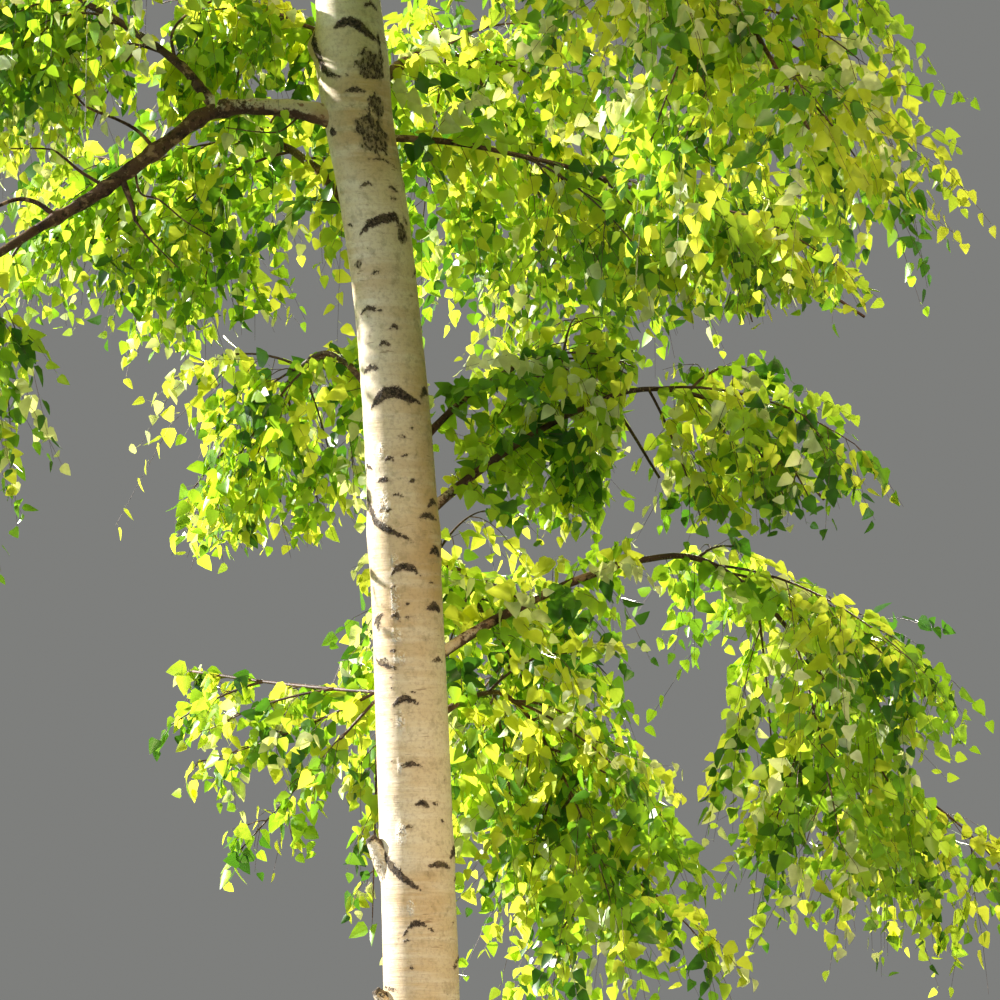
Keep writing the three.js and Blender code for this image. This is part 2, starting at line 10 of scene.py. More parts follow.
import bpy
import numpy as np
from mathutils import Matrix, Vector


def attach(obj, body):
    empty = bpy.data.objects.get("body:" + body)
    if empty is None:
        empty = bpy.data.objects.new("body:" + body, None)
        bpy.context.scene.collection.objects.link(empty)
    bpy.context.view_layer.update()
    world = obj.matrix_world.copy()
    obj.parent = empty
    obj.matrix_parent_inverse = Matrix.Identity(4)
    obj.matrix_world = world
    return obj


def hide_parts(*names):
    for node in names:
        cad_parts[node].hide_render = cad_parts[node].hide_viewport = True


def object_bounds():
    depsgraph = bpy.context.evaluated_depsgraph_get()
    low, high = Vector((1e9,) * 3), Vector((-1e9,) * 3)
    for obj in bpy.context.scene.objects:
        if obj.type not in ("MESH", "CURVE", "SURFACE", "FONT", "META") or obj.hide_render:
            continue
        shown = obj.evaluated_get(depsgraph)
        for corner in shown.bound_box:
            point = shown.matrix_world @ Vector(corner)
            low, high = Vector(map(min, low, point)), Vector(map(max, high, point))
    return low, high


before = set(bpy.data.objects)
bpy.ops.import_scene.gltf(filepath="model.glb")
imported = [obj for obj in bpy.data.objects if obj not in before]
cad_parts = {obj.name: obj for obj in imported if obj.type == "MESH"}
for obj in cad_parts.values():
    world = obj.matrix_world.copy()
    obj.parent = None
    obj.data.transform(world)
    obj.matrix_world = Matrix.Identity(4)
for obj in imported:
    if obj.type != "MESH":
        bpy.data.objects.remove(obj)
cad_box = [list(corner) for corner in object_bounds()]

UP = np.array([0.0, 0.0, 1.0])
ASIDE = np.array([1.0, 0.0, 0.0])
# How near upright a limb has to start for its sides to be counted from ASIDE
STEEP = 0.9
FULL_TURN = 2 * math.pi
GOLDEN_ANGLE = 137.5
# Smaller than any length here, so that nothing is divided by zero
TINY = 1e-9
# Where each kind of random draw starts, so that every run grows the same tree
SEEDS = {
    "bake map": 3,
    "relief": 5,
    "dead spur": 77,
    "curl places": 88,
    "curls": 91,
    "boughs": 300,
    "bare twigs": 350,
    "stumps": 500,
    "stems": 600,
    "twigs": 900,
    "marks": 4021,
    "twigs between": 5000,
    "branchlets": 7000,
    "leaves": 9000,
}

# The trunk: height, lean along X, lean along Y and radius.
TRUNK_LINE = [
    (0, 0, 0, 0.134),
    (0.5, -0.004, 0.002, 0.127),
    (1.3, -0.013, 0.008, 0.119),
    (2.0, -0.023, 0.014, 0.113),
    (2.6, -0.044, 0.018, 0.110),
    (3.2, -0.069, 0.022, 0.107),
    (3.7, -0.097, 0.027, 0.103),
    (4.1, -0.133, 0.031, 0.098),
    (4.4, -0.172, 0.034, 0.102),
    (4.7, -0.224, 0.037, 0.104),
    (5.0, -0.249, 0.039, 0.099),
    (5.8, -0.322, 0.044, 0.090),
    (7.2, -0.445, 0.046, 0.078),
    (9.2, -0.590, 0.034, 0.058),
    (11.2, -0.690, 0.006, 0.035),
    (12.7, -0.742, -0.024, 0.013),
]
TRUNK_RINGS = [0, 0.07, 0.18, 0.38, 0.7, 1.3, 2, 2.6, 3.2, 3.39, 3.7, 4.1, 4.4, 4.62, 4.83, 5, 5.4, 6.2]
TRUNK_RINGS += [7.2, 8.4, 9.6, 10.8, 11.9, 12.7]
TRUNK_TOP = 12.7
# Swellings below old and living boughs: height, how far out, half the length.
SWELLINGS = [(4.83, 0.008, 0.11), (3.39, 0.006, 0.075), (2.44, 0.003, 0.06)]
ROOTS = 5
ROOT_WAVER = 0.9
ROOT_VALLEY = 0.15
ROOT_SPREAD = 0.078
ROOT_FADE = 0.23

# Limbs
GAP = 0.0003
SHOWN_STEPS = 6
ARCHED_STEPS = 3
COLLAR = 1.5
COLLAR_FADE = 0.1
BOUGH_TAPER = 0.6
BOUGH_ARCH = 0.14
STEM_STEPS = 4
STEM_TIP_RADIUS = 0.013
TWIG_RADIUS = 0.006
TWIG_STEPS = 2
TWIG_TESTS = 6
TWIG_DROOP = 0.4
TWIG_SHORTENING = 0.45
TWIG_LENGTHS = (1, 0.75, 0.5)
TWIGS_FROM = 0.1
TWIGS_SPAN = 0.86
TWIG_OPENING = (42, 26)
TWIG_TILTS = (-52, -2, 48)
TWIG_TILT_RANGE = 24
TWIG_LENGTH_RANGE = (0.85, 0.4)
CENTRE_DROP = 0.15
CLEARANCE = 0.008

# Boughs that show close to: name, two radii, and the points that the limb runs through.
LEFT_BOUGH_POINTS = [
    (-0.218, 0.030, 4.640),
    (-0.400, -0.008, 4.684),
    (-0.640, -0.050, 4.676),
    (-0.800, -0.090, 4.562),
    (-1.000, -0.145, 4.402),
    (-1.170, -0.200, 4.290),
]
LEFT_FORK_POINTS = [
    (-0.640, -0.050, 4.676),
    (-0.700, -0.038, 4.752),
    (-0.745, -0.028, 4.808),
    (-0.815, -0.018, 4.866),
]
SHOWN_BOUGHS = [
    ("left_bough", (0.029, 0.015), LEFT_BOUGH_POINTS),
    ("left_fork", (0.018, 0.013), LEFT_FORK_POINTS),
]
# Boughs on an even arch: name, height, direction round the trunk and rise in degrees, length, radius.
ARCHED_BOUGHS = [
    ("back_left_bough", 4.24, 122, 46, 0.56, 0.024),
    ("mid_left_bough", 3.7, 126, 48, 0.4, 0.015),
    ("right_high_bough", 4.6, 12, 6, 0.39, 0.013),
    ("right_mid_bough", 3.6, 30, 50, 0.38, 0.015),
    ("right_low_bough", 2.78, 44, 38, 0.3, 0.014),
    ("right_out_bough", 3.4, 16, 43, 0.68, 0.016),
    ("back_bough", 4.7, 70, 32, 0.7, 0.024),
    ("back_low_bough", 3.08, 84, 36, 0.6, 0.016),
    ("back_right_bough", 2.98, 24, 34, 0.86, 0.018),
    ("front_right_bough", 5.12, 322, 12, 0.86, 0.026),
    ("front_left_bough", 5.26, 238, 26, 0.82, 0.026),
]

# The crown above
CROWN_BOUGHS = 13
CROWN_FOOT = 5.75
CROWN_HEAD = 11.9
CROWN_RADIUS = 1.85
CROWN_SHOULDER = 7.0
CROWN_TOP = 13.9
CROWN_FIRST_AZIMUTH = 285
CROWN_RISE = (32, 24)
CROWN_BOUGH_THICKNESS = (0.004, 0.24)
CROWN_BOUGH = 0.26
CROWN_REACH = 0.84
CROWN_SAG = 0.34
CROWN_SPREAD = (0.3, 0.62)
CROWN_SWING = 0.12
CROWN_AHEAD = 0.5
ARCH_PLACES = (0, 0.33, 0.67, 1)

# Masses of leaves: name, bough, reach, sag and swing of the stem, and the spread of its twigs.
SHOWN_MASSES = [
    ("left_tip_leaves", "left_bough", 0.85, 0.26, -0.16, 0.52),
    ("left_fork_leaves", "left_fork", 0.9, 0.33, 0.12, 0.56),
    ("back_left_leaves", "back_left_bough", 0.9, 0.52, -0.34, 0.6),
    ("mid_left_leaves", "mid_left_bough", 0.62, 0.76, -0.1, 0.46),
    ("right_high_leaves", "right_high_bough", 1.18, 0.34, 0.06, 0.66),
    ("right_mid_leaves", "right_mid_bough", 0.92, 0.8, -0.06, 0.56),
    ("right_low_leaves", "right_low_bough", 0.62, 0.9, 0.02, 0.52),
    ("right_out_leaves", "right_out_bough", 1.05, 0.76, -0.16, 0.64),
    ("back_leaves", "back_bough", 1.05, 0.9, 0.12, 0.68),
    ("back_low_leaves", "back_low_bough", 0.9, 0.96, 0.36, 0.6),
    ("back_right_leaves", "back_right_bough", 1.05, 1.2, -0.08, 0.7),
    ("front_right_leaves", "front_right_bough", 0.98, 0.74, 0.16, 0.62),
    ("front_left_leaves", "front_left_bough", 1.05, 0.64, -0.12, 0.62),
]
# Masses whose stem leaves the trunk: name, height, azimuth, rise, radius, then as above.
TRUNK_MASSES = [
    ("high_left_leaves", 4.88, 138, 32, 0.014, 0.64, 0.2, -0.12, 0.48),
    ("low_left_leaves", 2.92, 132, 4, 0.012, 0.98, -0.045, -0.05, 0.38),
    ("leader_side_leaves", 12.15, 160, 55, 0.013, 0.9, 0.22, 0, 0.42),
]
# Twigs that show one by one: place on the stem, azimuth and rise, length, and droop as a share of it.
SHOWN_TWIGS = {
    "low_left_leaves": [
        (0.16, 140, -20, 0.78, -0.1),
        (0.13, 139, -38, 0.77, 0),
        (0.35, 158, -4, 0.42, 0.2),
        (0.5, 108, 4, 0.38, 0.2),
        (0.68, 160, -12, 0.32, 0.2),
        (0.85, 118, 0, 0.28, 0.2),
        (0.15, 98, -78, 0.69, 0),
    ],
}
# The mass on the trunk's tip: name, then as above, the run of trunk that it carries on, and how thick
# its stem is beside the trunk there.
LEADER_MASS = ("leader_leaves", 0.82, 0.09, 0.06, 0.42)
LEADER_RUN = 0.3
LEADER_THICKNESS = 0.9
TWIGS_EACH = 6
GENERATOR_STEP = 48271
GENERATOR_SIZE = 2147483647
FIRST_SEED = 1871
SEED_STEP = 613

# Stumps: name, ends and radii.
STUMPS = [
    ("upper_stump", (-0.06, 0.01, 2.33), (-0.178, -0.024, 2.488), 0.062, 0.014),
    ("lower_stump", (-0.045, 0.005, 1.896), (-0.16, -0.03, 2.036), 0.056, 0.014),
]
# The dead spur: two radii, and the points that it runs through
DEAD_SPUR = (
    0.011,
    0.005,
    [(-0.925, -0.125, 4.462), (-0.905, -0.135, 4.41), (-0.888, -0.148, 4.362), (-0.88, -0.15, 4.322)],
)

# The camera, level with the photograph's view
CAMERA_PLACE = (0.21, -16.0, 1.9)
CAMERA_TARGET_HEIGHT = 3.5
VIEW_SIZE = 3.0
SENSOR = 36.0


# Vectors and lines
def unit(vectors):
    vectors = np.asarray(vectors, float)
    return vectors / np.maximum(np.linalg.norm(vectors, axis=-1, keepdims=True), TINY)


def within(span, share):
    least, more = span
    return least + more * share


def heading_of(azimuth, rise):
    a, r = math.radians(azimuth), math.radians(rise)
    return np.array([math.cos(a) * math.cos(r), math.sin(a) * math.cos(r), math.sin(r)])


def hermite(start, end, leaving, arriving, t):
    return (
        start * (2 * t**3 - 3 * t**2 + 1)
        + end * (3 * t**2 - 2 * t**3)
        + leaving * (t**3 - 2 * t**2 + t)
        + arriving * (t**3 - t**2)
    )


def along(heights, column):
    """A smooth value of one column of TRUNK_LINE at each height."""
    rows = np.asarray(TRUNK_LINE, float)
    place, value = rows[:, 0], rows[:, column]
    last = len(rows) - 1
    z = np.clip(heights, place[0], place[last])
    i = np.clip(np.searchsorted(place, z) - 1, 0, last - 1)
    before = np.maximum(np.arange(last + 1) - 1, 0)
    after = np.minimum(np.arange(last + 1) + 1, last)
    slope = (value[after] - value[before]) / (place[after] - place[before])
    span = place[i + 1] - place[i]
    t = (z - place[i]) / span
    return hermite(value[i], value[i + 1], slope[i] * span, slope[i + 1] * span, t)


def trunk_axis(heights):
    heights = np.asarray(heights, float)
    return np.stack([along(heights, 1), along(heights, 2), heights], -1)


def trunk_radius(heights):
    heights = np.asarray(heights, float)
    bumps = [out * np.exp(-(((heights - at) / half) ** 2)) for at, out, half in SWELLINGS]
    return along(heights, 3) + sum(bumps)


def root_flare(heights, angles):
    lobe = 0.5 + 0.5 * np.cos(ROOTS * angles + ROOT_WAVER * np.sin(2 * angles + 1))
    return ROOT_SPREAD * np.exp(-heights / ROOT_FADE) * (ROOT_VALLEY + (1 - ROOT_VALLEY) * lobe)


def smooth_line(points, steps):
    """A smooth line through the points, evenly stepped from point to point."""
    points = np.asarray(points, float)
    padded = np.vstack([2 * points[0] - points[1], points, 2 * points[-1] - points[-2]])
    shares = np.linspace(0, len(points) - 1, steps + 1)
    i = np.minimum(shares.astype(int), len(points) - 2)
    before, start, end, after = (padded[i + k] for k in range(4))
    return hermite(start, end, (end - before) / 2, (after - start) / 2, (shares - i)[:, None])


def limb_radii(base, tip, steps):
    s = np.linspace(0, 1, steps + 1)
    return (base + (tip - base) * s) * (1 + (COLLAR - 1) * np.exp(-s / COLLAR_FADE))


def arched_points(height, azimuth, rise, length):
    out = heading_of(azimuth, 0)
    r = math.radians(rise)
    start = trunk_axis(height)
    return [
        start + out * length * s * math.cos(r) + UP * length * (s * math.sin(r) - BOUGH_ARCH * s * s)
        for s in ARCH_PLACES
    ]


def crown_radius(height):
    share = max(height - CROWN_SHOULDER, 0) / (CROWN_TOP - CROWN_SHOULDER)
    return CROWN_RADIUS * (1 - share**2)


# Limbs: the source's coarse line, which the rule keeps clear of, and the points of the smooth one.
limbs = {}


def add_limb(name, points, base, tip, steps):
    line = smooth_line(points, steps)
    limbs[name] = {
        "points": points,
        "line": line,
        "radii": limb_radii(base, tip, steps),
        "ends": (base, tip),
        "ahead": unit(line[-1] - line[-2]),
    }


for name, (base, tip), points in SHOWN_BOUGHS:
    add_limb(name, points, base, tip, SHOWN_STEPS)
for name, height, azimuth, rise, length, radius in ARCHED_BOUGHS:
    add_limb(name, arched_points(height, azimuth, rise, length), radius, radius * BOUGH_TAPER, ARCHED_STEPS)

masses = []


def stem_at(start, ahead, reach, sag, swing, shares):
    aside = unit(np.cross(ahead, UP))
    s = np.asarray(shares, float)[:, None]
    return start + ahead * reach * s + aside * swing * s**2 - UP * sag * s**2


def add_mass(name, bough, start, ahead, base_radius, reach, sag, swing, spread):
    stem = stem_at(start, ahead, reach, sag, swing, np.linspace(0, 1, STEM_STEPS + 1))
    masses.append(
        {
            "name": name,
            "bough": bough,
            "stem": stem,
            "radii": np.linspace(base_radius, STEM_TIP_RADIUS, STEM_STEPS + 1),
            "spread": spread,
            "seed": FIRST_SEED + SEED_STEP * len(masses),
            "centre": stem[2] - UP * CENTRE_DROP * spread,
        }
    )


def add_bough_mass(name, bough, reach, sag, swing, spread):
    limb = limbs[bough]
    start = limb["line"][-1] + limb["ahead"] * GAP
    add_mass(name, bough, start, limb["ahead"], limb["radii"][-1], reach, sag, swing, spread)


for row in SHOWN_MASSES:
    add_bough_mass(*row)
for k in range(CROWN_BOUGHS):
    share = k / (CROWN_BOUGHS - 1)
    height = CROWN_FOOT + (CROWN_HEAD - CROWN_FOOT) * share
    radius = crown_radius(height + CROWN_AHEAD)
    azimuth = CROWN_FIRST_AZIMUTH + GOLDEN_ANGLE * k
    base = within(CROWN_BOUGH_THICKNESS, float(trunk_radius(height)))
    bough = f"crown_bough_{k + 1:02d}"
    points = arched_points(height, azimuth, within(CROWN_RISE, share), CROWN_BOUGH * radius)
    add_limb(bough, points, base, base * BOUGH_TAPER, ARCHED_STEPS)
    swing = CROWN_SWING if k % 2 else -CROWN_SWING
    reach, sag, spread = CROWN_REACH * radius, CROWN_SAG * radius, within(CROWN_SPREAD, radius)
    add_bough_mass(f"crown_leaves_{k + 1:02d}", bough, reach, sag, swing, spread)
for name, height, azimuth, rise, radius, reach, sag, swing, spread in TRUNK_MASSES:
    add_mass(name, "trunk", trunk_axis(height), heading_of(azimuth, rise), radius, reach, sag, swing, spread)
leader_start = trunk_axis(TRUNK_TOP) + UP * GAP
leader_ahead = unit(trunk_axis(TRUNK_TOP) - trunk_axis(TRUNK_TOP - LEADER_RUN))
leader_radius = LEADER_THICKNESS * float(trunk_radius(TRUNK_TOP))
add_mass(LEADER_MASS[0], "trunk", leader_start, leader_ahead, leader_radius, *LEADER_MASS[1:])

centres = np.array([mass["centre"] for mass in masses])


def depth_in_space(k, points):
    """How far each point lies inside the space of mass k, which is what lies nearest to its centre."""
    apart = np.linalg.norm(centres - centres[k], axis=1)
    away = ((points[:, None] - centres) ** 2).sum(-1)
    depth = (away - away[:, [k]]) / np.maximum(2 * apart, TINY)
    depth[:, k] = np.inf
    return depth.min(1)


trunk_limb = {
    "line": trunk_axis(TRUNK_RINGS),
    "radii": trunk_radius(TRUNK_RINGS) + root_flare(np.array(TRUNK_RINGS, float), 0.0),
}


def segments_beside(k):
    """Every straight piece of the trunk, the boughs and the other stems: start, span and radii."""
    lines = [(limb["line"], limb["radii"]) for limb in (trunk_limb, *limbs.values())]
    lines += [(mass["stem"], mass["radii"]) for mass in masses if mass is not masses[k]]
    starts = np.concatenate([line[:-1] for line, _ in lines])
    spans = np.concatenate([np.diff(line, axis=0) for line, _ in lines])
    near = np.concatenate([radii[:-1] for _, radii in lines])
    far = np.concatenate([radii[1:] for _, radii in lines])
    return starts, spans, near, far


def distance_to(segments, points):
    starts, spans, near, far = segments
    s = ((points[:, None] - starts) * spans).sum(-1) / (spans**2).sum(-1)
    s = s.clip(0, 1)
    closest = starts + s[..., None] * spans
    radius = near + (far - near) * s
    return (np.linalg.norm(points[:, None] - closest, axis=-1) - radius).min(1)


def seeded(seed):
    """The source's generator: even numbers from 0 to 1."""
    state = seed

    def roll():
        nonlocal state
        state = state * GENERATOR_STEP % GENERATOR_SIZE
        return state / GENERATOR_SIZE

    return roll


def even_shares(first, span, count):
    """Shares in the middles of a number of equal steps."""
    return first + span * (np.arange(count) + 0.5) / count


def frames_along(line, shares):
    """At each share of a line: the point, and the directions ahead, aside and up from it."""
    at = np.asarray(shares) * (len(line) - 1)
    i = np.minimum(at.astype(int), len(line) - 2)
    spots = line[i] + (line[i + 1] - line[i]) * (at - i)[:, None]
    ahead = unit(line[i + 1] - line[i])
    side = unit(np.cross(ahead, UP))
    return spots, ahead, side, np.cross(side, ahead)


def frame_at(line, share):
    return [part[0] for part in frames_along(line, [share])]


def opened(ahead, side, top, turn, opening):
    """Headings that leave a line by an opening, at a turn round it from its side to its top."""
    turn, opening = np.asarray(turn)[..., None], np.asarray(opening)[..., None]
    across = side * np.cos(turn) + top * np.sin(turn)
    return ahead * np.cos(opening) + across * np.sin(opening)


def twig_points(base, heading, length, droop, shares):
    u = np.asarray(shares, float)[:, None]
    return base + heading * length * u - UP * droop * length * u**2


def twig_fits(k, segments, base, heading, length, droop):
    line = twig_points(base, heading, length, droop, np.linspace(0, 1, TWIG_STEPS + 1))
    if depth_in_space(k, line).min() <= CLEARANCE + TWIG_RADIUS:
        return False
    shares = np.linspace(0, 1, TWIG_TESTS)
    tests = [line[i] + (line[i + 1] - line[i]) * s for i in range(TWIG_STEPS) for s in shares]
    return distance_to(segments, np.array(tests)).min() > TWIG_RADIUS + CLEARANCE


def fitting_twigs(k, segments, twigs):
    """Each twig as long as the space allows, and none where its shortest length doesn't fit either."""
    kept = []
    for s, base, heading, length, droop in twigs:
        for share in TWIG_LENGTHS:
            if twig_fits(k, segments, base, heading, length * share, droop):
                kept.append((s, base, heading, length * share, droop))
                break
    return kept


def twigs_of(k, segments):
    """The source's rule: twigs leave the stem on alternate sides, and keep to the mass's own space."""
    mass = masses[k]
    if mass["name"] in SHOWN_TWIGS:
        twigs = []
        for s, azimuth, rise, length, droop in SHOWN_TWIGS[mass["name"]]:
            twigs.append((s, frame_at(mass["stem"], s)[0], heading_of(azimuth, rise), length, droop))
        return fitting_twigs(k, segments, twigs)
    roll = seeded(mass["seed"])
    twigs = []
    for j, s in enumerate(even_shares(TWIGS_FROM, TWIGS_SPAN, TWIGS_EACH)):
        base, ahead, side, top = frame_at(mass["stem"], s)
        opening = math.radians(within(TWIG_OPENING, roll()))
        tilt = math.radians(TWIG_TILTS[j % len(TWIG_TILTS)] + TWIG_TILT_RANGE * roll())
        hand = 1 if j % 2 else -1
        length = mass["spread"] * (1 - TWIG_SHORTENING * s) * within(TWIG_LENGTH_RANGE, roll())
        heading = opened(ahead, side * hand, top, tilt, opening)
        twigs.append((s, base, heading, length, TWIG_DROOP))
    return fitting_twigs(k, segments, twigs)


# Meshes from arrays
def make_mesh(name, vertices, faces):
    """A mesh object from vertices and a list of face arrays, each with its own number of corners."""
    mesh = bpy.data.meshes.new(name)
    mesh.vertices.add(len(vertices))
    mesh.vertices.foreach_set("co", np.asarray(vertices, np.float32).ravel())
    corners = np.concatenate([group.ravel() for group in faces])
    sizes = np.concatenate([np.full(len(group), group.shape[1]) for group in faces])
    mesh.loops.add(len(corners))
    mesh.loops.foreach_set("vertex_index", corners.astype(np.int32))
    mesh.polygons.add(len(sizes))
    mesh.polygons.foreach_set("loop_start", (np.cumsum(sizes) - sizes).astype(np.int32))
    mesh.polygons.foreach_set("use_smooth", np.full(len(sizes), True))
    mesh.update(calc_edges=True)
    mesh.validate()
    piece = bpy.data.objects.new(name, mesh)
    bpy.context.scene.collection.objects.link(piece)
    return piece


def set_value(piece, name, values):
    values = np.asarray(values, np.float32)
    kind = "FLOAT" if values.ndim == 1 else "FLOAT_VECTOR"
    attribute = piece.data.attributes.new(name, kind, "POINT")
    attribute.data.foreach_set("value" if values.ndim == 1 else "vector", values.ravel())


def grid_of(rows, columns):
    return np.meshgrid(np.arange(rows), np.arange(columns), indexing="ij")


def grid_faces(rings, sides):
    """The quads of a tube of rings, each with the same number of sides."""
    ring, side = grid_of(rings - 1, sides)
    a = ring * sides + side
    b = ring * sides + (side + 1) % sides
    return np.stack([a, b, b + sides, a + sides], -1).reshape(-1, 4)


def tube_faces(rings, sides):
    """The faces of a closed tube, whose last two points are the middles of its foot and its head."""
    count = rings * sides
    side = np.arange(sides)
    after = (side + 1) % sides
    foot = np.stack([np.full(sides, count), after, side], -1)
    head = np.stack([np.full(sides, count + 1), side + count - sides, after + count - sides], -1)
    return [grid_faces(rings, sides), foot, head]


def turns_of(sides):
    """The direction of each side of a tube, round its line."""
    return np.arange(sides) / sides * FULL_TURN


def rims(sides, tops, turn):
    """Directions all round each of many points, from its side by way of its top."""
    return sides[:, None] * np.cos(turn)[:, None] + tops[:, None] * np.sin(turn)[:, None]


def step_lengths(line):
    return np.linalg.norm(np.diff(line, axis=0), axis=1)


class Heap:
    """Vertices, faces and values of many small shapes that become one mesh."""

    def __init__(self):
        self.vertices, self.faces, self.values = [], {}, []
        self.count = 0

    def add(self, vertices, faces, values=None):
        vertices = np.asarray(vertices, float).reshape(-1, 3)
        for group in faces:
            self.faces.setdefault(group.shape[1], []).append(group + self.count)
        self.vertices.append(vertices)
        self.values.append(np.zeros((len(vertices), 1)) if values is None else values)
        self.count += len(vertices)

    def piece(self, name):
        faces = [np.concatenate(groups) for groups in self.faces.values()]
        return make_mesh(name, np.concatenate(self.vertices), faces)


def add_tube(heap, line, radii, sides, rough, seed, value=None):
    """A closed tapering tube along a line, its surface a little uneven by the given share of its radius."""
    tangents = unit(np.gradient(line, axis=0))
    steep = abs(tangents[0][2]) >= STEEP
    normal = unit(np.cross(tangents[0], ASIDE if steep else UP))
    normals = []
    for tangent in tangents:
        normal = unit(normal - tangent * (normal @ tangent))
        normals.append(normal)
    normals = np.array(normals)
    others = np.cross(tangents, normals)
    turn = turns_of(sides)
    run = np.concatenate([[0], np.cumsum(step_lengths(line))])[:, None]
    radii = radii[:, None] * (1 + rough * uneven(turn, run, seed))
    ring = line[:, None] + rims(normals, others, turn) * radii[..., None]
    vertices = np.concatenate([ring.reshape(-1, 3), line[:1], line[-1:]])
    values = None
    if value is not None:
        values = np.concatenate([np.repeat(value, sides), [value[0], value[-1]]])[:, None]
    heap.add(vertices, tube_faces(len(line), sides), values)


# Bumps of a limb: how many go round it, how fast they change along it, and how high they are
BUMPS = [(1, 9, 0.4), (2, 23, 0.35), (3, 61, 0.3), (5, 140, 0.2)]


def uneven(turn, run, seed):
    """Bumps of several sizes round and along a limb, between about -1 and 1."""
    rng = np.random.default_rng(seed)
    total = 0.0
    for waves, pace, height in BUMPS:
        lag, drift = rng.uniform(0, FULL_TURN, 2)
        total = total + height * np.cos(waves * turn + drift) * np.cos(pace * run + lag + waves * turn)
    return total


# Marks that the front of the trunk shows, in millimetres: how thick, then points across from the
# trunk's middle line and up from the ground.
SHOWN_MARKS = [
    (24, [(-50, 4922), (-25, 4943), (2, 4949), (31, 4934), (59, 4907), (82, 4886)]),
    (26, [(-101, 4935), (-98, 4868), (-90, 4812), (-74, 4786), (-38, 4776)]),
    (17, [(-27, 4730), (3, 4735), (33, 4730)]),
    (9, [(-23, 4781), (-14, 4781)]),
    (30, [(-92, 4616), (-74, 4610)]),
    (7, [(5, 4520), (48, 4526), (89, 4502)]),
    (9, [(-33, 4436), (-9, 4454), (7, 4442)]),
    (12, [(55, 4445), (80, 4430)]),
    (9, [(52, 4409), (73, 4406)]),
    (12, [(-86, 4334), (-70, 4325)]),
    (19, [(-54, 4295), (-25, 4328), (6, 4343), (60, 4358), (69, 4316)]),
    (12, [(84, 4358), (92, 4325)]),
    (12, [(-33, 4172), (-20, 4184), (-9, 4175)]),
    (15, [(-80, 4055), (-57, 4076), (-16, 4064)]),
    (12, [(4, 4010), (18, 4019), (28, 4007)]),
    (12, [(-36, 3956), (-17, 3971), (0, 3956)]),
    (15, [(-87, 3881), (-65, 3899), (-36, 3887)]),
    (24, [(-74, 3767), (-53, 3800), (-30, 3821), (4, 3824), (38, 3806), (75, 3785)]),
    (21, [(77, 3806), (91, 3833), (100, 3818)]),
    (9, [(39, 3710), (51, 3710)]),
    (9, [(5, 3686), (25, 3680)]),
    (9, [(-45, 3608), (-30, 3623), (-15, 3611)]),
    (9, [(9, 3626), (28, 3629)]),
    (15, [(-102, 3611), (-84, 3590)]),
    (15, [(-70, 3548), (-49, 3557), (-28, 3548)]),
    (12, [(26, 3548), (44, 3554)]),
    (8, [(-28, 3503), (-10, 3512), (10, 3500)]),
    (22, [(-104, 3552), (-101, 3500), (-90, 3464), (-80, 3430), (-47, 3404), (4, 3380), (27, 3366)]),
    (15, [(74, 3470), (91, 3497), (103, 3485)]),
    (18, [(46, 3440), (77, 3449), (100, 3437)]),
    (21, [(74, 3332), (92, 3350), (104, 3329)]),
    (13, [(-44, 3265), (-27, 3290), (0, 3298), (23, 3289), (45, 3266)]),
    (9, [(72, 3245), (81, 3245)]),
    (9, [(-48, 3230), (-27, 3233)]),
    (9, [(-6, 3176), (9, 3182)]),
    (24, [(60, 3167), (81, 3179), (99, 3164)]),
    (21, [(-101, 3122), (-85, 3143), (-73, 3152)]),
    (15, [(-49, 3140), (-34, 3149), (-22, 3128)]),
    (6, [(-10, 3140), (14, 3140)]),
    (9, [(-59, 3041), (-35, 3041)]),
    (15, [(-101, 3029), (-90, 3008), (-60, 2996), (-34, 2987)]),
    (12, [(69, 3011), (85, 3020), (99, 3011)]),
    (9, [(-59, 2963), (-53, 2963)]),
    (9, [(-57, 2930), (-51, 2930)]),
    (9, [(2, 2918), (14, 2918)]),
    (15, [(-57, 2873), (-35, 2894), (-16, 2903), (4, 2894), (25, 2882)]),
    (9, [(-65, 2714), (-59, 2714)]),
    (12, [(-43, 2690), (-24, 2705), (-5, 2708), (29, 2693)]),
    (18, [(4, 2582), (25, 2591), (43, 2576)]),
    (9, [(52, 2588), (70, 2585)]),
    (9, [(74, 2537), (86, 2534)]),
    (7, [(-56, 2492), (-40, 2513), (-22, 2522), (-8, 2510)]),
    (27, [(-106, 2470), (-97, 2438), (-66, 2390), (-28, 2354), (10, 2330)]),
    (18, [(34, 2399), (61, 2408), (97, 2399)]),
    (18, [(-33, 2216), (-15, 2231), (12, 2231), (24, 2222)]),
    (7, [(-50, 2192), (-33, 2216)]),
    (7, [(24, 2222), (47, 2204)]),
    (9, [(-47, 2180), (-29, 2180)]),
    (9, [(-32, 2102), (-20, 2099)]),
    (12, [(94, 2105), (107, 2105)]),
    (9, [(97, 2237), (102, 2234)]),
    (9, [(-108, 2045), (-90, 2039), (-69, 2033)]),
]
# Patches of dark, broken bark on the front: across, height, half width and half height in millimetres.
ROUGH_PATCHES = [
    (60, 4816, 60, 62),
    (84, 4860, 14, 60),
    (38, 4600, 66, 84),
    (60, 4690, 34, 50),
    (-75, 4208, 22, 14),
    (-54, 3464, 34, 14),
    (-88, 3116, 16, 20),
    (-78, 3012, 22, 10),
    (72, 4300, 26, 40),
]
# Patches where the paper is wrinkled and stands up in small folds, in the same terms
WRINKLED_PATCHES = [
    (-57, 3470, 34, 56),
    (-30, 3310, 12, 26),
    (-33, 3190, 16, 66),
    (-34, 3086, 20, 26),
    (-26, 3016, 22, 24),
    (-30, 2830, 14, 40),
    (-36, 2700, 12, 26),
    (-40, 2500, 22, 40),
    (-20, 2280, 12, 30),
    (-52, 3640, 16, 24),
]
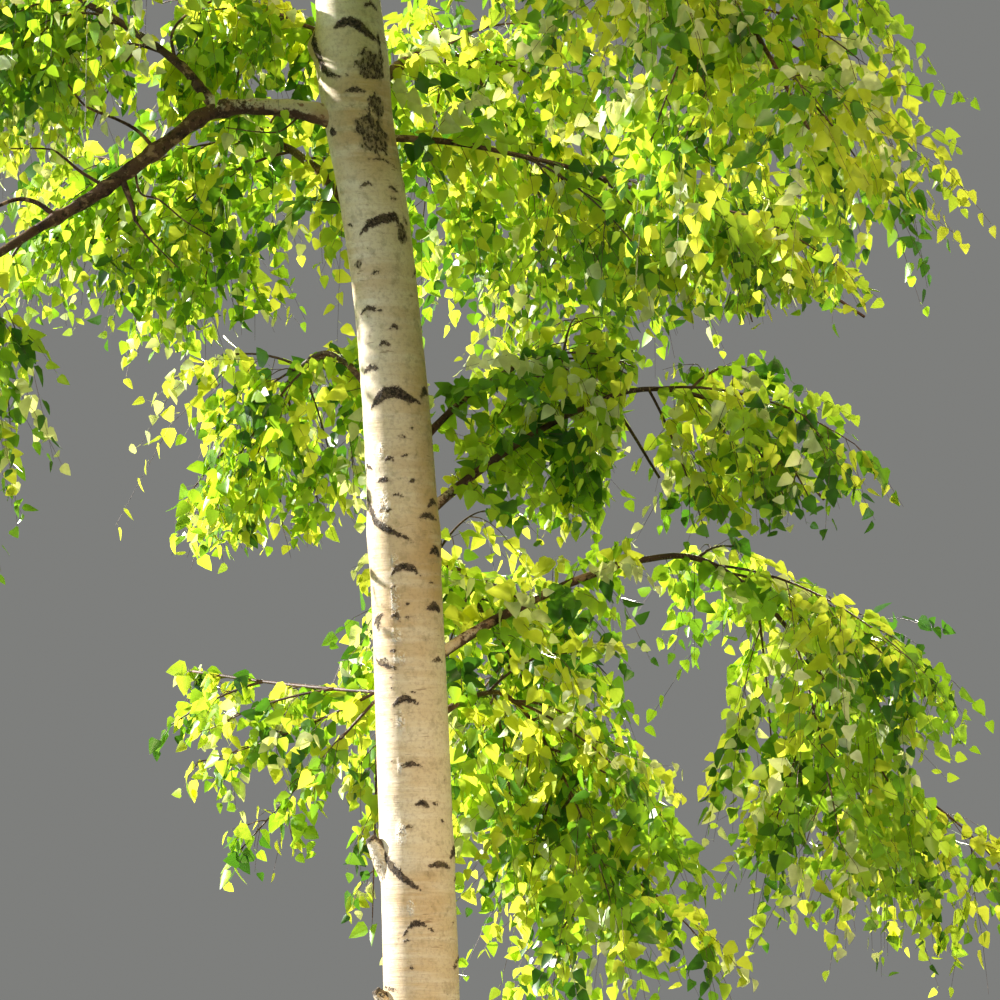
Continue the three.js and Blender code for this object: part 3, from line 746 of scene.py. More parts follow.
# The hump of an overgrown bough: direction round the trunk from the front, height, how far out, half
# the turn and half the height.
HUMP = (-1.5, 4.885, 0.026, 0.36, 0.042)
SHOWN_LOW, SHOWN_HIGH = 1.98, 5.0
SHOWN_HALF_TURN = math.radians(80)
HIDDEN_MARKS = 420
HIDDEN_HEIGHTS = (0.35, 12.3)
# Made-up marks, brows over old boughs and small dashes: width, thickness, and how far the ends hang down
# as a share of the width. They are measured on a trunk of PLAIN_RADIUS.
BROWS = ((0.04, 0.125), (0.009, 0.026), (0.2, 0.42))
DASHES = ((0.012, 0.04), (0.006, 0.011), (0, 0.15))
BROW_SHARE = 0.32
SLANTS = (-0.2, 0.2)
PLAIN_RADIUS = 0.11
MARK_PLACES = (-1, -0.55, 0, 0.5, 1)
ARCH_POWER = 1.4
MARK_SOFTNESS = 0.006
# How thick a mark's ends are beside its middle, and how quickly it grows from them
MARK_END = 0.12
MARK_FULLNESS = 0.8
EDGE_OF_VIEW = 0.97
ARCH_FILL = 0.26
ARCH_LEAST = 0.012


def distance_to_path(across, heights, path, thick):
    """How far inside a mark's outline each place on the unrolled bark lies. Its ends are thinner."""
    path = np.asarray(path, float)
    starts, spans = path[:-1], np.diff(path, axis=0)
    lengths = np.linalg.norm(spans, axis=1)
    before = np.concatenate([[0], np.cumsum(lengths)[:-1]])
    depth = np.full(across.shape, -1.0)
    for start, span, length, ahead in zip(starts, spans, lengths, before):
        s = ((across - start[0]) * span[0] + (heights - start[1]) * span[1]) / length**2
        s = np.clip(s, 0, 1)
        away = np.hypot(across - start[0] - s * span[0], heights - start[1] - s * span[1])
        share = (ahead + s * length) / lengths.sum()
        half = thick / 2 * (MARK_END + (1 - MARK_END) * np.sin(math.pi * share) ** MARK_FULLNESS)
        depth = np.maximum(depth, half - away)
    return depth


def below_arch(path):
    """The path pulled down towards the straight line between its ends."""
    path = np.asarray(path, float)
    share = (path[:, :1] - path[0, 0]) / (path[-1, 0] - path[0, 0] + TINY)
    chord = path[0] + (path[-1] - path[0]) * share
    return path + (chord - path) * ARCH_FILL


def marks_of_trunk():
    """All marks: thickness and a path of angles from the front and heights, in radians and metres."""
    found = []
    for thick, path in SHOWN_MARKS:
        heights = [z / 1000 for _, z in path]
        turns = [
            math.asin(max(-EDGE_OF_VIEW, min(EDGE_OF_VIEW, x / 1000 / float(trunk_radius(z)))))
            for (x, _), z in zip(path, heights)
        ]
        found.append((thick / 1000, list(zip(turns, heights))))
    rng = np.random.default_rng(SEEDS["marks"])
    while len(found) < HIDDEN_MARKS + len(SHOWN_MARKS):
        height, turn = rng.uniform(*HIDDEN_HEIGHTS), rng.uniform(-math.pi, math.pi)
        radius = float(trunk_radius(height))
        size = radius / PLAIN_RADIUS
        widths, thicknesses, arches = BROWS if rng.random() < BROW_SHARE else DASHES
        width = size * rng.uniform(*widths)
        thick = size * rng.uniform(*thicknesses)
        arch = width * rng.uniform(*arches)
        slant = rng.uniform(*SLANTS) * width
        if SHOWN_LOW < height < SHOWN_HIGH and abs(turn) < SHOWN_HALF_TURN:
            continue
        path = []
        for t in MARK_PLACES:
            away = t * width / 2 / radius
            path.append((turn + away, height - arch * abs(t) ** ARCH_POWER + slant * t / 2))
        found.append((thick, path))
    return found


def fade_between(values, low, high):
    t = np.clip((values - low) / (high - low), 0, 1)
    return t * t * (3 - 2 * t)


TRUNK_SIDES = 96
FINE_FROM, FINE_TO = 1.92, 5.1
LOW_STEP = 0.019
FINE_STEP = 0.0062
HIGH_STEP = 0.034
LEAST_STEP = 0.02
# Where a patch starts to fade and where it ends, as shares of its half size
PATCH_FADE = (0.4, 1.2)
# The furrowed foot: where its furrows start to fade and where they end, and how far that place wavers
FURROW_FADE = (0.25, 0.95)
FURROW_WAVER = 0.1
# How far the bark's unevenness, its marks, its furrows and its broken patches stand out, and how well
# inside a mark its relief begins and is full
UNEVEN_HEIGHT = 0.0011
MARK_HEIGHT = 0.0018
MARK_FADE = (-0.3, 0.6)
FURROW_HEIGHT = 0.0045
PATCH_HEIGHT = 0.0012
# How far above and below its path a mark is worked out
MARK_MARGIN = 0.03


def trunk_heights():
    low = np.arange(0, FINE_FROM, LOW_STEP)
    fine = np.arange(FINE_FROM, FINE_TO, FINE_STEP)
    high = np.arange(FINE_TO, TRUNK_TOP - LEAST_STEP, HIGH_STEP)
    return np.concatenate([low, fine, high, [TRUNK_TOP]])


def patches_at(turn, z, plain, patches):
    """1 in the middle of each patch on the unrolled bark, falling to 0 at its rim."""
    share = np.zeros(z.shape)
    for across, height, half_width, half_height in patches:
        at = math.asin(across / 1000 / float(trunk_radius(height / 1000)))
        wide = (turn - at) * plain / (half_width / 1000)
        tall = (z - height / 1000) / (half_height / 1000)
        share = np.maximum(share, 1 - fade_between(np.hypot(wide, tall), *PATCH_FADE))
    return share


def marks_at(heights, turn, z, plain):
    """How far inside the dark marks each place of the bark lies, from -1 well outside to 1 well inside."""
    mark = np.full(z.shape, -1.0)
    for thick, path in marks_of_trunk():
        middle = sum(a for a, _ in path) / len(path)
        lowest, highest = min(h for _, h in path), max(h for _, h in path)
        rows = np.where((heights > lowest - MARK_MARGIN) & (heights < highest + MARK_MARGIN))[0]
        if not len(rows):
            continue
        from_middle = (turn[rows] - middle + math.pi) % FULL_TURN - math.pi
        unrolled = [((a - middle) * float(trunk_radius(h)), h) for a, h in path]
        depth = distance_to_path(from_middle * plain[rows], z[rows], unrolled, thick)
        if highest - max(path[0][1], path[-1][1]) > ARCH_LEAST:
            lower = distance_to_path(from_middle * plain[rows], z[rows], below_arch(unrolled), thick)
            depth = np.maximum(depth, lower)
        mark[rows] = np.maximum(mark[rows], depth / MARK_SOFTNESS)
    return mark.clip(-1, 1)


def bark_relief(turn, z, mark, patch):
    """How far the bark stands out: its unevenness, its marks, its furrowed foot and its broken patches."""
    furrow = 1 - fade_between(z + FURROW_WAVER * np.sin(3 * turn), *FURROW_FADE)
    relief = UNEVEN_HEIGHT * uneven(turn, z, SEEDS["relief"]) + MARK_HEIGHT * fade_between(mark, *MARK_FADE)
    ribs = np.sin(turn * 17 + 2.2 * np.sin(z * 7 + turn * 3)) * np.sin(turn * 29 + z * 11)
    crumbs = np.sin(turn * 61 + 9 * np.sin(z * 31))
    return relief + FURROW_HEIGHT * furrow * ribs + PATCH_HEIGHT * patch * crumbs


def hump_at(turn, z):
    at, height, out, half_turn, half_height = HUMP
    return out * np.exp(-(((turn - at) / half_turn) ** 2) - ((z - height) / half_height) ** 2)


def build_trunk():
    """The trunk's bark: one closed mesh whose vertices say where the dark marks and broken patches lie."""
    heights = trunk_heights()
    rows = np.ones(len(heights))[:, None]
    turn = rows * (turns_of(TRUNK_SIDES) - math.pi)
    z = heights[:, None] * np.ones(TRUNK_SIDES)
    plain = trunk_radius(heights)[:, None] * np.ones(TRUNK_SIDES)
    mark = marks_at(heights, turn, z, plain)
    patch = patches_at(turn, z, plain, ROUGH_PATCHES)
    wrinkled = patches_at(turn, z, plain, WRINKLED_PATCHES)
    angle = turn - math.pi / 2
    radius = plain + root_flare(z, angle) + bark_relief(turn, z, mark, patch) + hump_at(turn, z)
    axis = trunk_axis(heights)[:, None]
    place = np.stack([axis[..., 0] + radius * np.cos(angle), axis[..., 1] + radius * np.sin(angle), z], -1)
    vertices = np.concatenate([place.reshape(-1, 3), trunk_axis([0.0, TRUNK_TOP])])
    piece = make_mesh("trunk_bark", vertices, tube_faces(len(heights), TRUNK_SIDES))
    straight = np.stack([np.cos(angle) * plain, np.sin(angle) * plain, z], -1).reshape(-1, 3)
    ends = [(0.0, 0.0, 0.0), (0.0, 0.0, TRUNK_TOP)]
    set_value(piece, "bark_place", np.concatenate([straight, ends]))
    set_value(piece, "bark_mark", np.concatenate([mark.ravel(), [-1, -1]]))
    set_value(piece, "bark_patch", np.concatenate([patch.ravel(), [0, 0]]))
    set_value(piece, "bark_wrinkle", np.concatenate([wrinkled.ravel(), [0, 0]]))
    add_bake_map(piece, heights)
    return piece


# The map of the unrolled trunk: its columns, the margin and width of what each holds, its foot and height
# on the map, the edges that it keeps to, and the speck that the two ends share
BAKE_COLUMNS = 5
BAKE_MARGIN, BAKE_WIDTH = 0.02, 0.96
BAKE_FOOT, BAKE_HEIGHT = 0.012, 0.97
BAKE_EDGES = (0.002, 0.998)
BAKE_SPECK = 0.001


def add_bake_map(piece, heights):
    """A map of the unrolled trunk in a few columns side by side, for whoever bakes its bark."""
    rows = len(heights) - 1
    layer = piece.data.uv_layers.new(name="OFBake")
    span = TRUNK_TOP / BAKE_COLUMNS
    ring, side = grid_of(rows, TRUNK_SIDES)
    middle = (heights[:-1] + heights[1:])[:, None] / 2 * np.ones(TRUNK_SIDES)
    column = np.minimum((middle / span).astype(int), BAKE_COLUMNS - 1)
    corners = []
    for ring_step, side_step in ((0, 0), (0, 1), (1, 1), (1, 0)):
        u = (column + BAKE_MARGIN + BAKE_WIDTH * (side + side_step) / TRUNK_SIDES) / BAKE_COLUMNS
        v = (heights[ring + ring_step] - column * span) / span * BAKE_HEIGHT + BAKE_FOOT
        corners.append(np.stack([u, np.clip(v, *BAKE_EDGES)], -1))
    around = np.stack(corners, 2).reshape(-1, 2)
    left = len(piece.data.loops) - len(around)
    ends = BAKE_SPECK + np.random.default_rng(SEEDS["bake map"]).random((left, 2)) * BAKE_SPECK
    layer.uv.foreach_set("vector", np.concatenate([around, ends]).astype(np.float32).ravel())


# Materials
def linear(text):
    """A colour such as #8a6a52 as the renderer's own red, green and blue."""
    parts = [int(text[i : i + 2], 16) / 255 for i in (1, 3, 5)]
    return [p / 12.92 if p <= 0.04045 else ((p + 0.055) / 1.055) ** 2.4 for p in parts] + [1.0]


def toned(text, share):
    return [share * part for part in linear(text)[:3]] + [1.0]


class Shading:
    """A material and the few kinds of node that it is made of."""

    def __init__(self, name, roughness):
        self.material = bpy.data.materials.new(name)
        self.material.use_nodes = True
        self.tree = self.material.node_tree
        self.shader = self.tree.nodes["Principled BSDF"]
        self.shader.inputs["Roughness"].default_value = roughness

    def node(self, kind, inputs=None, **settings):
        made = self.tree.nodes.new(kind)
        for key, value in settings.items():
            setattr(made, key, value)
        for key, value in (inputs or {}).items():
            if isinstance(value, bpy.types.NodeSocket):
                self.tree.links.new(value, made.inputs[key])
            else:
                made.inputs[key].default_value = value
        return made

    def link(self, output, socket):
        self.tree.links.new(output, self.shader.inputs[socket])

    def attribute(self, name, output="Fac"):
        return self.node("ShaderNodeAttribute", attribute_name=name).outputs[output]

    def place(self):
        return self.node("ShaderNodeTexCoord").outputs["Object"]

    def stretched(self, place, upright):
        """The place with its height multiplied, so that a pattern is drawn out level or upright."""
        scale = (1.0, 1.0, upright)
        return self.node("ShaderNodeVectorMath", {0: place, 1: scale}, operation="MULTIPLY").outputs[0]

    def noise(self, place, scale, detail=4.0, roughness=0.55, distortion=0.0):
        inputs = {
            "Vector": place,
            "Scale": scale,
            "Detail": detail,
            "Roughness": roughness,
            "Distortion": distortion,
        }
        return self.node("ShaderNodeTexNoise", inputs).outputs["Fac"]

    def ramp(self, value, low, high, out_low=0.0, out_high=1.0):
        """A smooth step from out_low to out_high while the value goes from low to high."""
        inputs = {"Value": value, "From Min": low, "From Max": high, "To Min": out_low, "To Max": out_high}
        return self.node("ShaderNodeMapRange", inputs, interpolation_type="SMOOTHSTEP").outputs["Result"]

    def math(self, operation, first, second):
        return self.node("ShaderNodeMath", {0: first, 1: second}, operation=operation).outputs[0]

    def plus(self, first, second):
        return self.math("ADD", first, second)

    def times(self, first, second):
        return self.math("MULTIPLY", first, second)

    def mix(self, share, first, second):
        made = self.node("ShaderNodeMix", data_type="RGBA")
        for key, value in (("Factor", share), (6, first), (7, second)):
            socket = made.inputs[key]
            if isinstance(value, bpy.types.NodeSocket):
                self.tree.links.new(value, socket)
            else:
                socket.default_value = linear(value) if isinstance(value, str) else value
        return made.outputs[2]

    def tint(self, colour, value, low, high, share, other):
        """The colour, turned into the other by up to a share while the value goes from low to high."""
        return self.mix(self.ramp(value, low, high, 0.0, share), colour, other)

    def bump(self, height, distance, strength=1.0):
        inputs = {"Height": height, "Distance": distance, "Strength": strength}
        self.link(self.node("ShaderNodeBump", inputs).outputs["Normal"], "Normal")


def white_bark():
    """Papery white bark: cream and tan sheets, fine level lines, lenticels, dark scars and broken patches."""
    m = Shading("white_bark", 0.62)
    place = m.attribute("bark_place", "Vector")
    level = m.stretched(place, 7.0)
    fine_level = m.stretched(place, 16.0)
    upright = m.stretched(place, 0.4)
    # Cream and tan sheets of paper, and fine level lines
    broad = m.noise(place, 2.6, 3.0)
    sheets = m.noise(level, 4.2, 5.0, 0.6)
    lines = m.noise(fine_level, 9.0, 4.0, 0.65)
    crumble = m.noise(place, 90.0, 5.0, 0.75)
    colour = m.mix(m.ramp(broad, 0.36, 0.66), "#e6d8bb", "#cdae7e")
    colour = m.tint(colour, sheets, 0.42, 0.72, 0.65, "#efe6d3")
    colour = m.tint(colour, lines, 0.52, 0.76, 0.45, "#cdb08a")
    # Small brown lenticels, here and there
    dashes = m.noise(m.stretched(place, 6.0), 24.0, 2.0, 0.4)
    where = m.ramp(m.noise(place, 5.5, 2.0), 0.46, 0.64)
    dash = m.times(m.ramp(dashes, 0.66, 0.72), where)
    colour = m.mix(m.times(dash, 0.7), colour, "#8a6a50")
    # Dark marks with a ragged edge and a soft halo
    ragged = m.plus(m.attribute("bark_mark"), m.ramp(crumble, 0.3, 0.7, -0.86, 0.7))
    colour = m.tint(colour, ragged, -1.25, -0.2, 0.42, "#a98e74")
    scar = m.ramp(ragged, -0.1, 0.2)
    scar_colour = m.mix(m.ramp(crumble, 0.42, 0.68), "#231d19", "#7d6a58")
    colour = m.mix(scar, colour, scar_colour)
    # Broken, greyed patches
    rim = m.noise(place, 30.0, 3.0, 0.6)
    patch = m.plus(m.attribute("bark_patch"), m.ramp(rim, 0.3, 0.7, -0.5, 0.34))
    flecks = m.noise(m.stretched(place, 0.55), 104.0, 4.0, 0.72)
    broken = m.ramp(m.plus(flecks, m.ramp(patch, 0.0, 0.7, -0.28, 0.03)), 0.45, 0.58)
    greyed = m.tint(colour, patch, 0.0, 0.7, 0.78, "#93825f")
    colour = m.mix(broken, greyed, m.mix(m.ramp(crumble, 0.42, 0.68), "#3a3026", "#7f6f56"))
    # Folds of wrinkled paper: painted highlight makes their crests pale, and painted shade darkens their
    # creases
    wrinkle = m.attribute("bark_wrinkle")
    folds = m.noise(place, 84.0, 3.0, 0.6, 0.8)
    crest = m.times(wrinkle, m.ramp(folds, 0.45, 0.6))
    painted_crease_shade = m.times(wrinkle, m.ramp(folds, 0.36, 0.46, 0.5, 0.0))
    colour = m.mix(m.times(crest, 0.95), colour, "#fbf5ea")
    colour = m.mix(painted_crease_shade, colour, "#b89a78")
    # The dark crust of the foot, and the brown bark of the young top
    height = m.node("ShaderNodeSeparateXYZ", {0: place}).outputs["Z"]
    streaks = m.noise(upright, 34.0, 4.0, 0.6)
    ragged_height = m.plus(height, m.ramp(m.noise(place, 9.0, 3.0), 0.3, 0.7, -0.3, 0.3))
    foot = m.ramp(ragged_height, 0.15, 0.8, 1.0, 0.0)
    crust = m.ramp(m.plus(streaks, m.ramp(foot, 0.0, 1.0, -0.4, 0.12)), 0.46, 0.56)
    colour = m.mix(crust, colour, m.mix(m.ramp(crumble, 0.4, 0.65), "#2c2622", "#6f665c"))
    young = m.ramp(height, 9.6, 12.4)
    colour = m.mix(m.times(young, 0.8), colour, "#7a5440")
    m.link(colour, "Base Color")
    rough = m.math("MAXIMUM", m.math("MAXIMUM", scar, broken), crust)
    m.link(m.ramp(rough, 0.0, 1.0, 0.58, 0.92), "Roughness")
    relief = m.plus(m.times(sheets, 0.5), m.times(lines, 0.5))
    relief = m.plus(relief, m.times(m.times(rough, crumble), 2.6))
    relief = m.plus(relief, m.times(m.times(wrinkle, folds), 3.2))
    m.bump(relief, 0.003, 0.9)
    return m.material


def limb_bark():
    """Bark of boughs: cream near the trunk, then reddish brown with pale lenticels and grey scales."""
    m = Shading("limb_bark", 0.75)
    place = m.place()
    pale = m.attribute("pale")
    broad = m.noise(place, 9.0, 4.0)
    scales = m.noise(place, 38.0, 5.0, 0.7)
    grain = m.noise(place, 120.0, 3.0, 0.6)
    brown = m.mix(m.ramp(broad, 0.35, 0.68), "#4c3329", "#6f4d3c")
    blotches = m.noise(place, 22.0, 4.0, 0.62)
    brown = m.tint(brown, scales, 0.5, 0.62, 0.9, "#2c201b")
    brown = m.tint(brown, blotches, 0.55, 0.63, 0.75, "#b08c6c")
    cream = m.mix(m.ramp(broad, 0.35, 0.68), "#e6d8bd", "#cdae88")
    cream = m.tint(cream, scales, 0.54, 0.64, 0.85, "#8a5a40")
    share = m.ramp(m.plus(pale, m.ramp(scales, 0.3, 0.7, -0.28, 0.28)), 0.34, 0.62)
    colour = m.mix(share, brown, cream)
    colour = m.tint(colour, grain, 0.63, 0.7, 0.55, "#b39b7e")
    m.link(colour, "Base Color")
    m.link(m.ramp(scales, 0.3, 0.7, 0.62, 0.88), "Roughness")
    m.bump(m.plus(scales, m.times(grain, 0.35)), 0.004)
    return m.material


def twig_bark():
    m = Shading("twig_bark", 0.55)
    place = m.place()
    spots = m.noise(place, 160.0, 2.0)
    broad = m.noise(place, 7.0, 2.0)
    colour = m.mix(m.ramp(broad, 0.35, 0.65), "#3f2a21", "#5e3f2f")
    colour = m.tint(colour, spots, 0.6, 0.68, 0.6, "#b59a78")
    m.link(colour, "Base Color")
    m.bump(spots, 0.0008)
    return m.material


def leaf_green(name, face, lit, roughness, through):
    """One shade of leaf: its face, the colour of light through it, and how much light comes through."""
    m = Shading(name, roughness)
    place = m.place()
    mottle = m.noise(place, 26.0, 3.0)
    m.link(m.mix(m.ramp(mottle, 0.3, 0.7), toned(face, 0.72), toned(face, 1.18)), "Base Color")
    m.bump(m.noise(place, 240.0, 2.0), 0.0006, 0.5)
    glow = m.node("ShaderNodeBsdfTranslucent", {"Color": linear(lit)})
    blend = m.node("ShaderNodeMixShader", {0: through, 1: m.shader.outputs[0], 2: glow.outputs[0]})
    m.tree.links.new(blend.outputs[0], m.tree.nodes["Material Output"].inputs["Surface"])
    return m.material


def paper():
    m = Shading("bark_paper", 0.6)
    place = m.place()
    fine = m.noise(m.stretched(place, 8.0), 30.0, 3.0)
    m.link(m.mix(m.ramp(fine, 0.4, 0.75), "#f1e8d6", "#d8b896"), "Base Color")
    m.bump(fine, 0.0006)
    return m.material


def dress(piece, material, slot, *nodes):
    piece.data.materials.append(material)
    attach(piece, "root")
    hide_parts(*nodes)


# Trunk
WHITE_BARK = white_bark()
LIMB_BARK = limb_bark()
TWIG_BARK = twig_bark()
PAPER = paper()

dress(build_trunk(), WHITE_BARK, "bark_white", "trunk")

# Curls of paper that stand off the bark on the sides that the photograph does not show
HIDDEN_CURLS = 80
CURLS_FROM, CURLS_TO = 0.8, 8.5
CURLS_EDGE = 2.1
CURL_WIDTHS = (0.008, 0.024)
CURL_HEIGHTS = (0.012, 0.045)
CURL_ROLLS = (0.7, 2.6)
CURL_STEPS, CURL_ROWS = 5, 4
# How much narrower a curl is at its ends, how ragged its edge is, and how far it stands off the bark
CURL_NARROWING = 1.6
CURL_RAGGED = 0.12
CURL_LIFT = 0.0012


def curl_places():
    rng = np.random.default_rng(SEEDS["curl places"])
    turns = rng.uniform(CURLS_EDGE, FULL_TURN - CURLS_EDGE, HIDDEN_CURLS)
    return list(zip(turns, rng.uniform(CURLS_FROM, CURLS_TO, HIDDEN_CURLS)))


def build_curls():
    """Thin strips of bark, fixed at one upright edge and rolled outwards at the other."""
    heap = Heap()
    rng = np.random.default_rng(SEEDS["curls"])
    row, step = grid_of(CURL_ROWS - 1, CURL_STEPS - 1)
    a = row * CURL_STEPS + step
    faces = np.stack([a, a + 1, a + 1 + CURL_STEPS, a + CURL_STEPS], -1).reshape(-1, 4)
    for turn, z in curl_places():
        width, tall = rng.uniform(*CURL_WIDTHS), rng.uniform(*CURL_HEIGHTS)
        hand = rng.choice((-1, 1))
        roll = rng.uniform(*CURL_ROLLS)
        radius = float(trunk_radius(z))
        grid = []
        for i in range(CURL_ROWS):
            off_middle = i / (CURL_ROWS - 1) - 0.5
            height = z + off_middle * tall
            narrow = 1 - CURL_NARROWING * off_middle**2 + rng.uniform(-CURL_RAGGED, CURL_RAGGED)
            for j in range(CURL_STEPS):
                bend = roll * j / (CURL_STEPS - 1)
                run = width * narrow / roll * math.sin(bend)
                lift = width * narrow / roll * (1 - math.cos(bend)) + CURL_LIFT
                angle = turn - math.pi / 2 + hand * run / radius
                out = float(trunk_radius(height)) + float(root_flare(height, angle)) + lift
                grid.append(trunk_axis(height) + np.array([math.cos(angle), math.sin(angle), 0]) * out)
        heap.add(grid, [faces])
    return heap.piece("paper_curls")


curls = build_curls()
curls.data.materials.append(PAPER)
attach(curls, "root")


# Boughs
# Knots of the left bough, in metres across from the foot of the tree, and how much they swell it
BOUGH_KNOTS = [
    (-0.36, 0.1),
    (-0.62, 0.22),
    (-0.7, 0.26),
    (-0.825, 0.42),
    (-0.9, 0.24),
    (-0.975, 0.4),
    (-1.04, 0.2),
    (-1.11, 0.3),
]
KNOT_LENGTH = 0.02
# Bare side twigs that show along the left bough and its fork: two radii, and the points that they run through
SIDE_TWIGS = [
    (0.0065, 0.0025, [
        (-0.825, -0.097, 4.548), (-0.876, -0.11, 4.601), (-0.936, -0.12, 4.634),
        (-1.014, -0.13, 4.664), (-1.05, -0.14, 4.691), (-1.11, -0.15, 4.775),
    ]),
    (0.006, 0.002, [
        (-0.97, -0.137, 4.428), (-1.044, -0.15, 4.472), (-1.095, -0.155, 4.514),
        (-1.14, -0.16, 4.538), (-1.251, -0.17, 4.538),
    ]),
    (0.009, 0.004, [
        (-1.113, -0.18, 4.332), (-1.173, -0.185, 4.373), (-1.23, -0.19, 4.382),
        (-1.29, -0.2, 4.358), (-1.35, -0.2, 4.33),
    ]),
    (0.004, 0.0018, [
        (-0.885, -0.11, 4.488), (-0.867, -0.12, 4.412), (-0.81, -0.12, 4.391),
        (-0.738, -0.12, 4.331), (-0.654, -0.12, 4.28),
    ]),
    (0.0042, 0.0016, [
        (-0.88, -0.15, 4.324), (-0.834, -0.15, 4.265), (-0.75, -0.15, 4.181),
    ]),
    (0.006, 0.003, [
        (-0.771, -0.024, 4.83), (-0.78, -0.025, 4.916), (-0.723, -0.025, 4.982),
        (-0.6, -0.02, 5.04),
    ]),
    (0.005, 0.002, [
        (-0.8, -0.02, 4.854), (-0.9, -0.01, 4.884), (-0.966, -0.01, 4.862),
        (-1.074, -0.01, 4.829), (-1.257, -0.01, 4.808),
    ]),
    (0.0032, 0.0016, [
        (-0.4, -0.01, 4.66), (-0.45, -0.03, 4.616), (-0.51, -0.04, 4.61),
        (-0.615, -0.05, 4.622),
    ]),
]
# Steps, sides and unevenness of the boughs that show close to, of the others, of the dead spur and of
# bare twigs
SHOWN_FORM = (90, 20, 0.2)
BOUGH_FORM = (36, 12, 0.07)
SPUR_FORM = (24, 10, 0.12)
BARE_TWIG_FORM = (24, 8, 0.14)
# How far along a bough its bark is pale like the trunk's, and how much less so underneath
PALE_REACH = {"left_bough": 0.5, "left_fork": 0.2}
PALE_REACH_OTHER = 0.4
PALE_START = 1.15
# Underneath, a bough is browner: partly its own crumbly bark, partly painted shade that leaves the top pale
# as if lit
BROWN_AND_SHADE_BELOW = 0.75
BELOW_FADE = (0.0, 0.8)


def facing(heap, line, radii, sides, direction):
    """How far each point of the tube that was added last faces a direction, from -1 to 1."""
    ring = [*np.repeat(np.arange(len(line)), sides), 0, -1]
    return (heap.vertices[-1] - line[ring]) @ direction / radii[ring]


def add_bare_twig(heap, base, tip, points, form, seed):
    """A thin limb without leaves, its bark brown throughout."""
    steps, sides, rough = form
    radii = np.linspace(base, tip, steps + 1)
    add_tube(heap, smooth_line(points, steps), radii, sides, rough, seed, np.zeros(steps + 1))


def build_boughs():
    heap = Heap()
    for k, (name, limb) in enumerate(limbs.items()):
        steps, sides, rough = SHOWN_FORM if name.startswith("left") else BOUGH_FORM
        line = smooth_line(limb["points"], steps)
        radii = limb_radii(*limb["ends"], steps)
        share = np.linspace(0, 1, steps + 1)
        pale = np.clip(PALE_START - share / PALE_REACH.get(name, PALE_REACH_OTHER), 0, 1)
        if name == "left_bough":
            places, swelling = np.transpose(BOUGH_KNOTS)
            radii = radii * (1 + np.exp(-(((line[:, :1] - places) / KNOT_LENGTH) ** 2)) @ swelling)
        add_tube(heap, line, radii, sides, rough, SEEDS["boughs"] + k, pale)
        # Less pale where the bough faces down: its own browner underside together with painted shade
        shaded_underside = fade_between(facing(heap, line, radii, sides, -UP), *BELOW_FADE)
        heap.values[-1] = heap.values[-1] * (1 - BROWN_AND_SHADE_BELOW * shaded_underside[:, None])
    add_bare_twig(heap, *DEAD_SPUR, SPUR_FORM, SEEDS["dead spur"])
    for k, twig in enumerate(SIDE_TWIGS):
        add_bare_twig(heap, *twig, BARE_TWIG_FORM, SEEDS["bare twigs"] + k)
    piece = heap.piece("boughs")
    set_value(piece, "pale", np.concatenate([v[:, 0] for v in heap.values]))
    return piece


dress(build_boughs(), LIMB_BARK, "bark_brown", *limbs, "dead_spur")


STUMP_TAPER = 1.6
STUMP_STEPS, STUMP_SIDES = 25, 24
STUMP_ROUGHNESS = 0.1
# Where along a stump its torn end begins, how far the dark ridge on top of it leans to the front, and how
# squarely the ridge faces that way
TORN_FADE = (0.9, 0.98)
RIDGE_TO_FRONT = 0.7
RIDGE_FADE = (0.7, 0.86)
# How rough and how wrinkled a stump's collar is
COLLAR_PATCH = 0.35
COLLAR_WRINKLE = 0.6


def build_stumps():
    """Broken stumps: a wide white collar that grows out of the trunk, and a dark torn end."""
    heap = Heap()
    for k, (_, start, end, base, tip) in enumerate(STUMPS):
        start, end = np.array(start), np.array(end)
        share = np.linspace(0, 1, STUMP_STEPS + 1)
        line = start + (end - start) * share[:, None]
        radii = base + (tip - base) * share**STUMP_TAPER
        torn = fade_between(share, *TORN_FADE)
        add_tube(heap, line, radii, STUMP_SIDES, STUMP_ROUGHNESS, SEEDS["stumps"] + k, torn)
        along_it = unit(end - start)
        upper = unit(UP - along_it * along_it[2])
        front = unit(np.cross(upper, along_it))
        crest = upper + front * math.copysign(RIDGE_TO_FRONT, -front[1])
        ridge = fade_between(facing(heap, line, radii, STUMP_SIDES, unit(crest)), *RIDGE_FADE)
        heap.values[-1] = np.maximum(heap.values[-1], ridge[:, None])
    piece = heap.piece("stumps")
    torn = np.concatenate([v[:, 0] for v in heap.values])
    set_value(piece, "bark_place", np.concatenate(heap.vertices))
    set_value(piece, "bark_mark", 2 * torn - 1)
    set_value(piece, "bark_patch", COLLAR_PATCH * (1 - torn))
    set_value(piece, "bark_wrinkle", COLLAR_WRINKLE * (1 - torn))
    return piece


dress(build_stumps(), WHITE_BARK, "bark_white", *[row[0] for row in STUMPS])

# Foliage: branchlets stand along every stem and twig, and carry the leaves.
NEAR_TOP = 5.6
BETWEEN_TWIGS = 8
BETWEEN_CROWN_TWIGS = 10
NONE_BETWEEN = ["low_left_leaves"]
# How far branchlets and twigs scatter from the flat of their spray, in radians
SPRAY_SCATTER = 0.6
# How full some masses are beside the others, as the photograph shows them
FULLNESS = {
    "low_left_leaves": 0.85,
    "mid_left_leaves": 0.8,
    "left_tip_leaves": 0.8,
    "high_left_leaves": 1.4,
    "left_fork_leaves": 1.2,
    "right_out_leaves": 1.15,
}
# How long the side twigs and branchlets of some masses are, beside the others'
FINENESS = {"low_left_leaves": 0.3, "mid_left_leaves": 0.85}
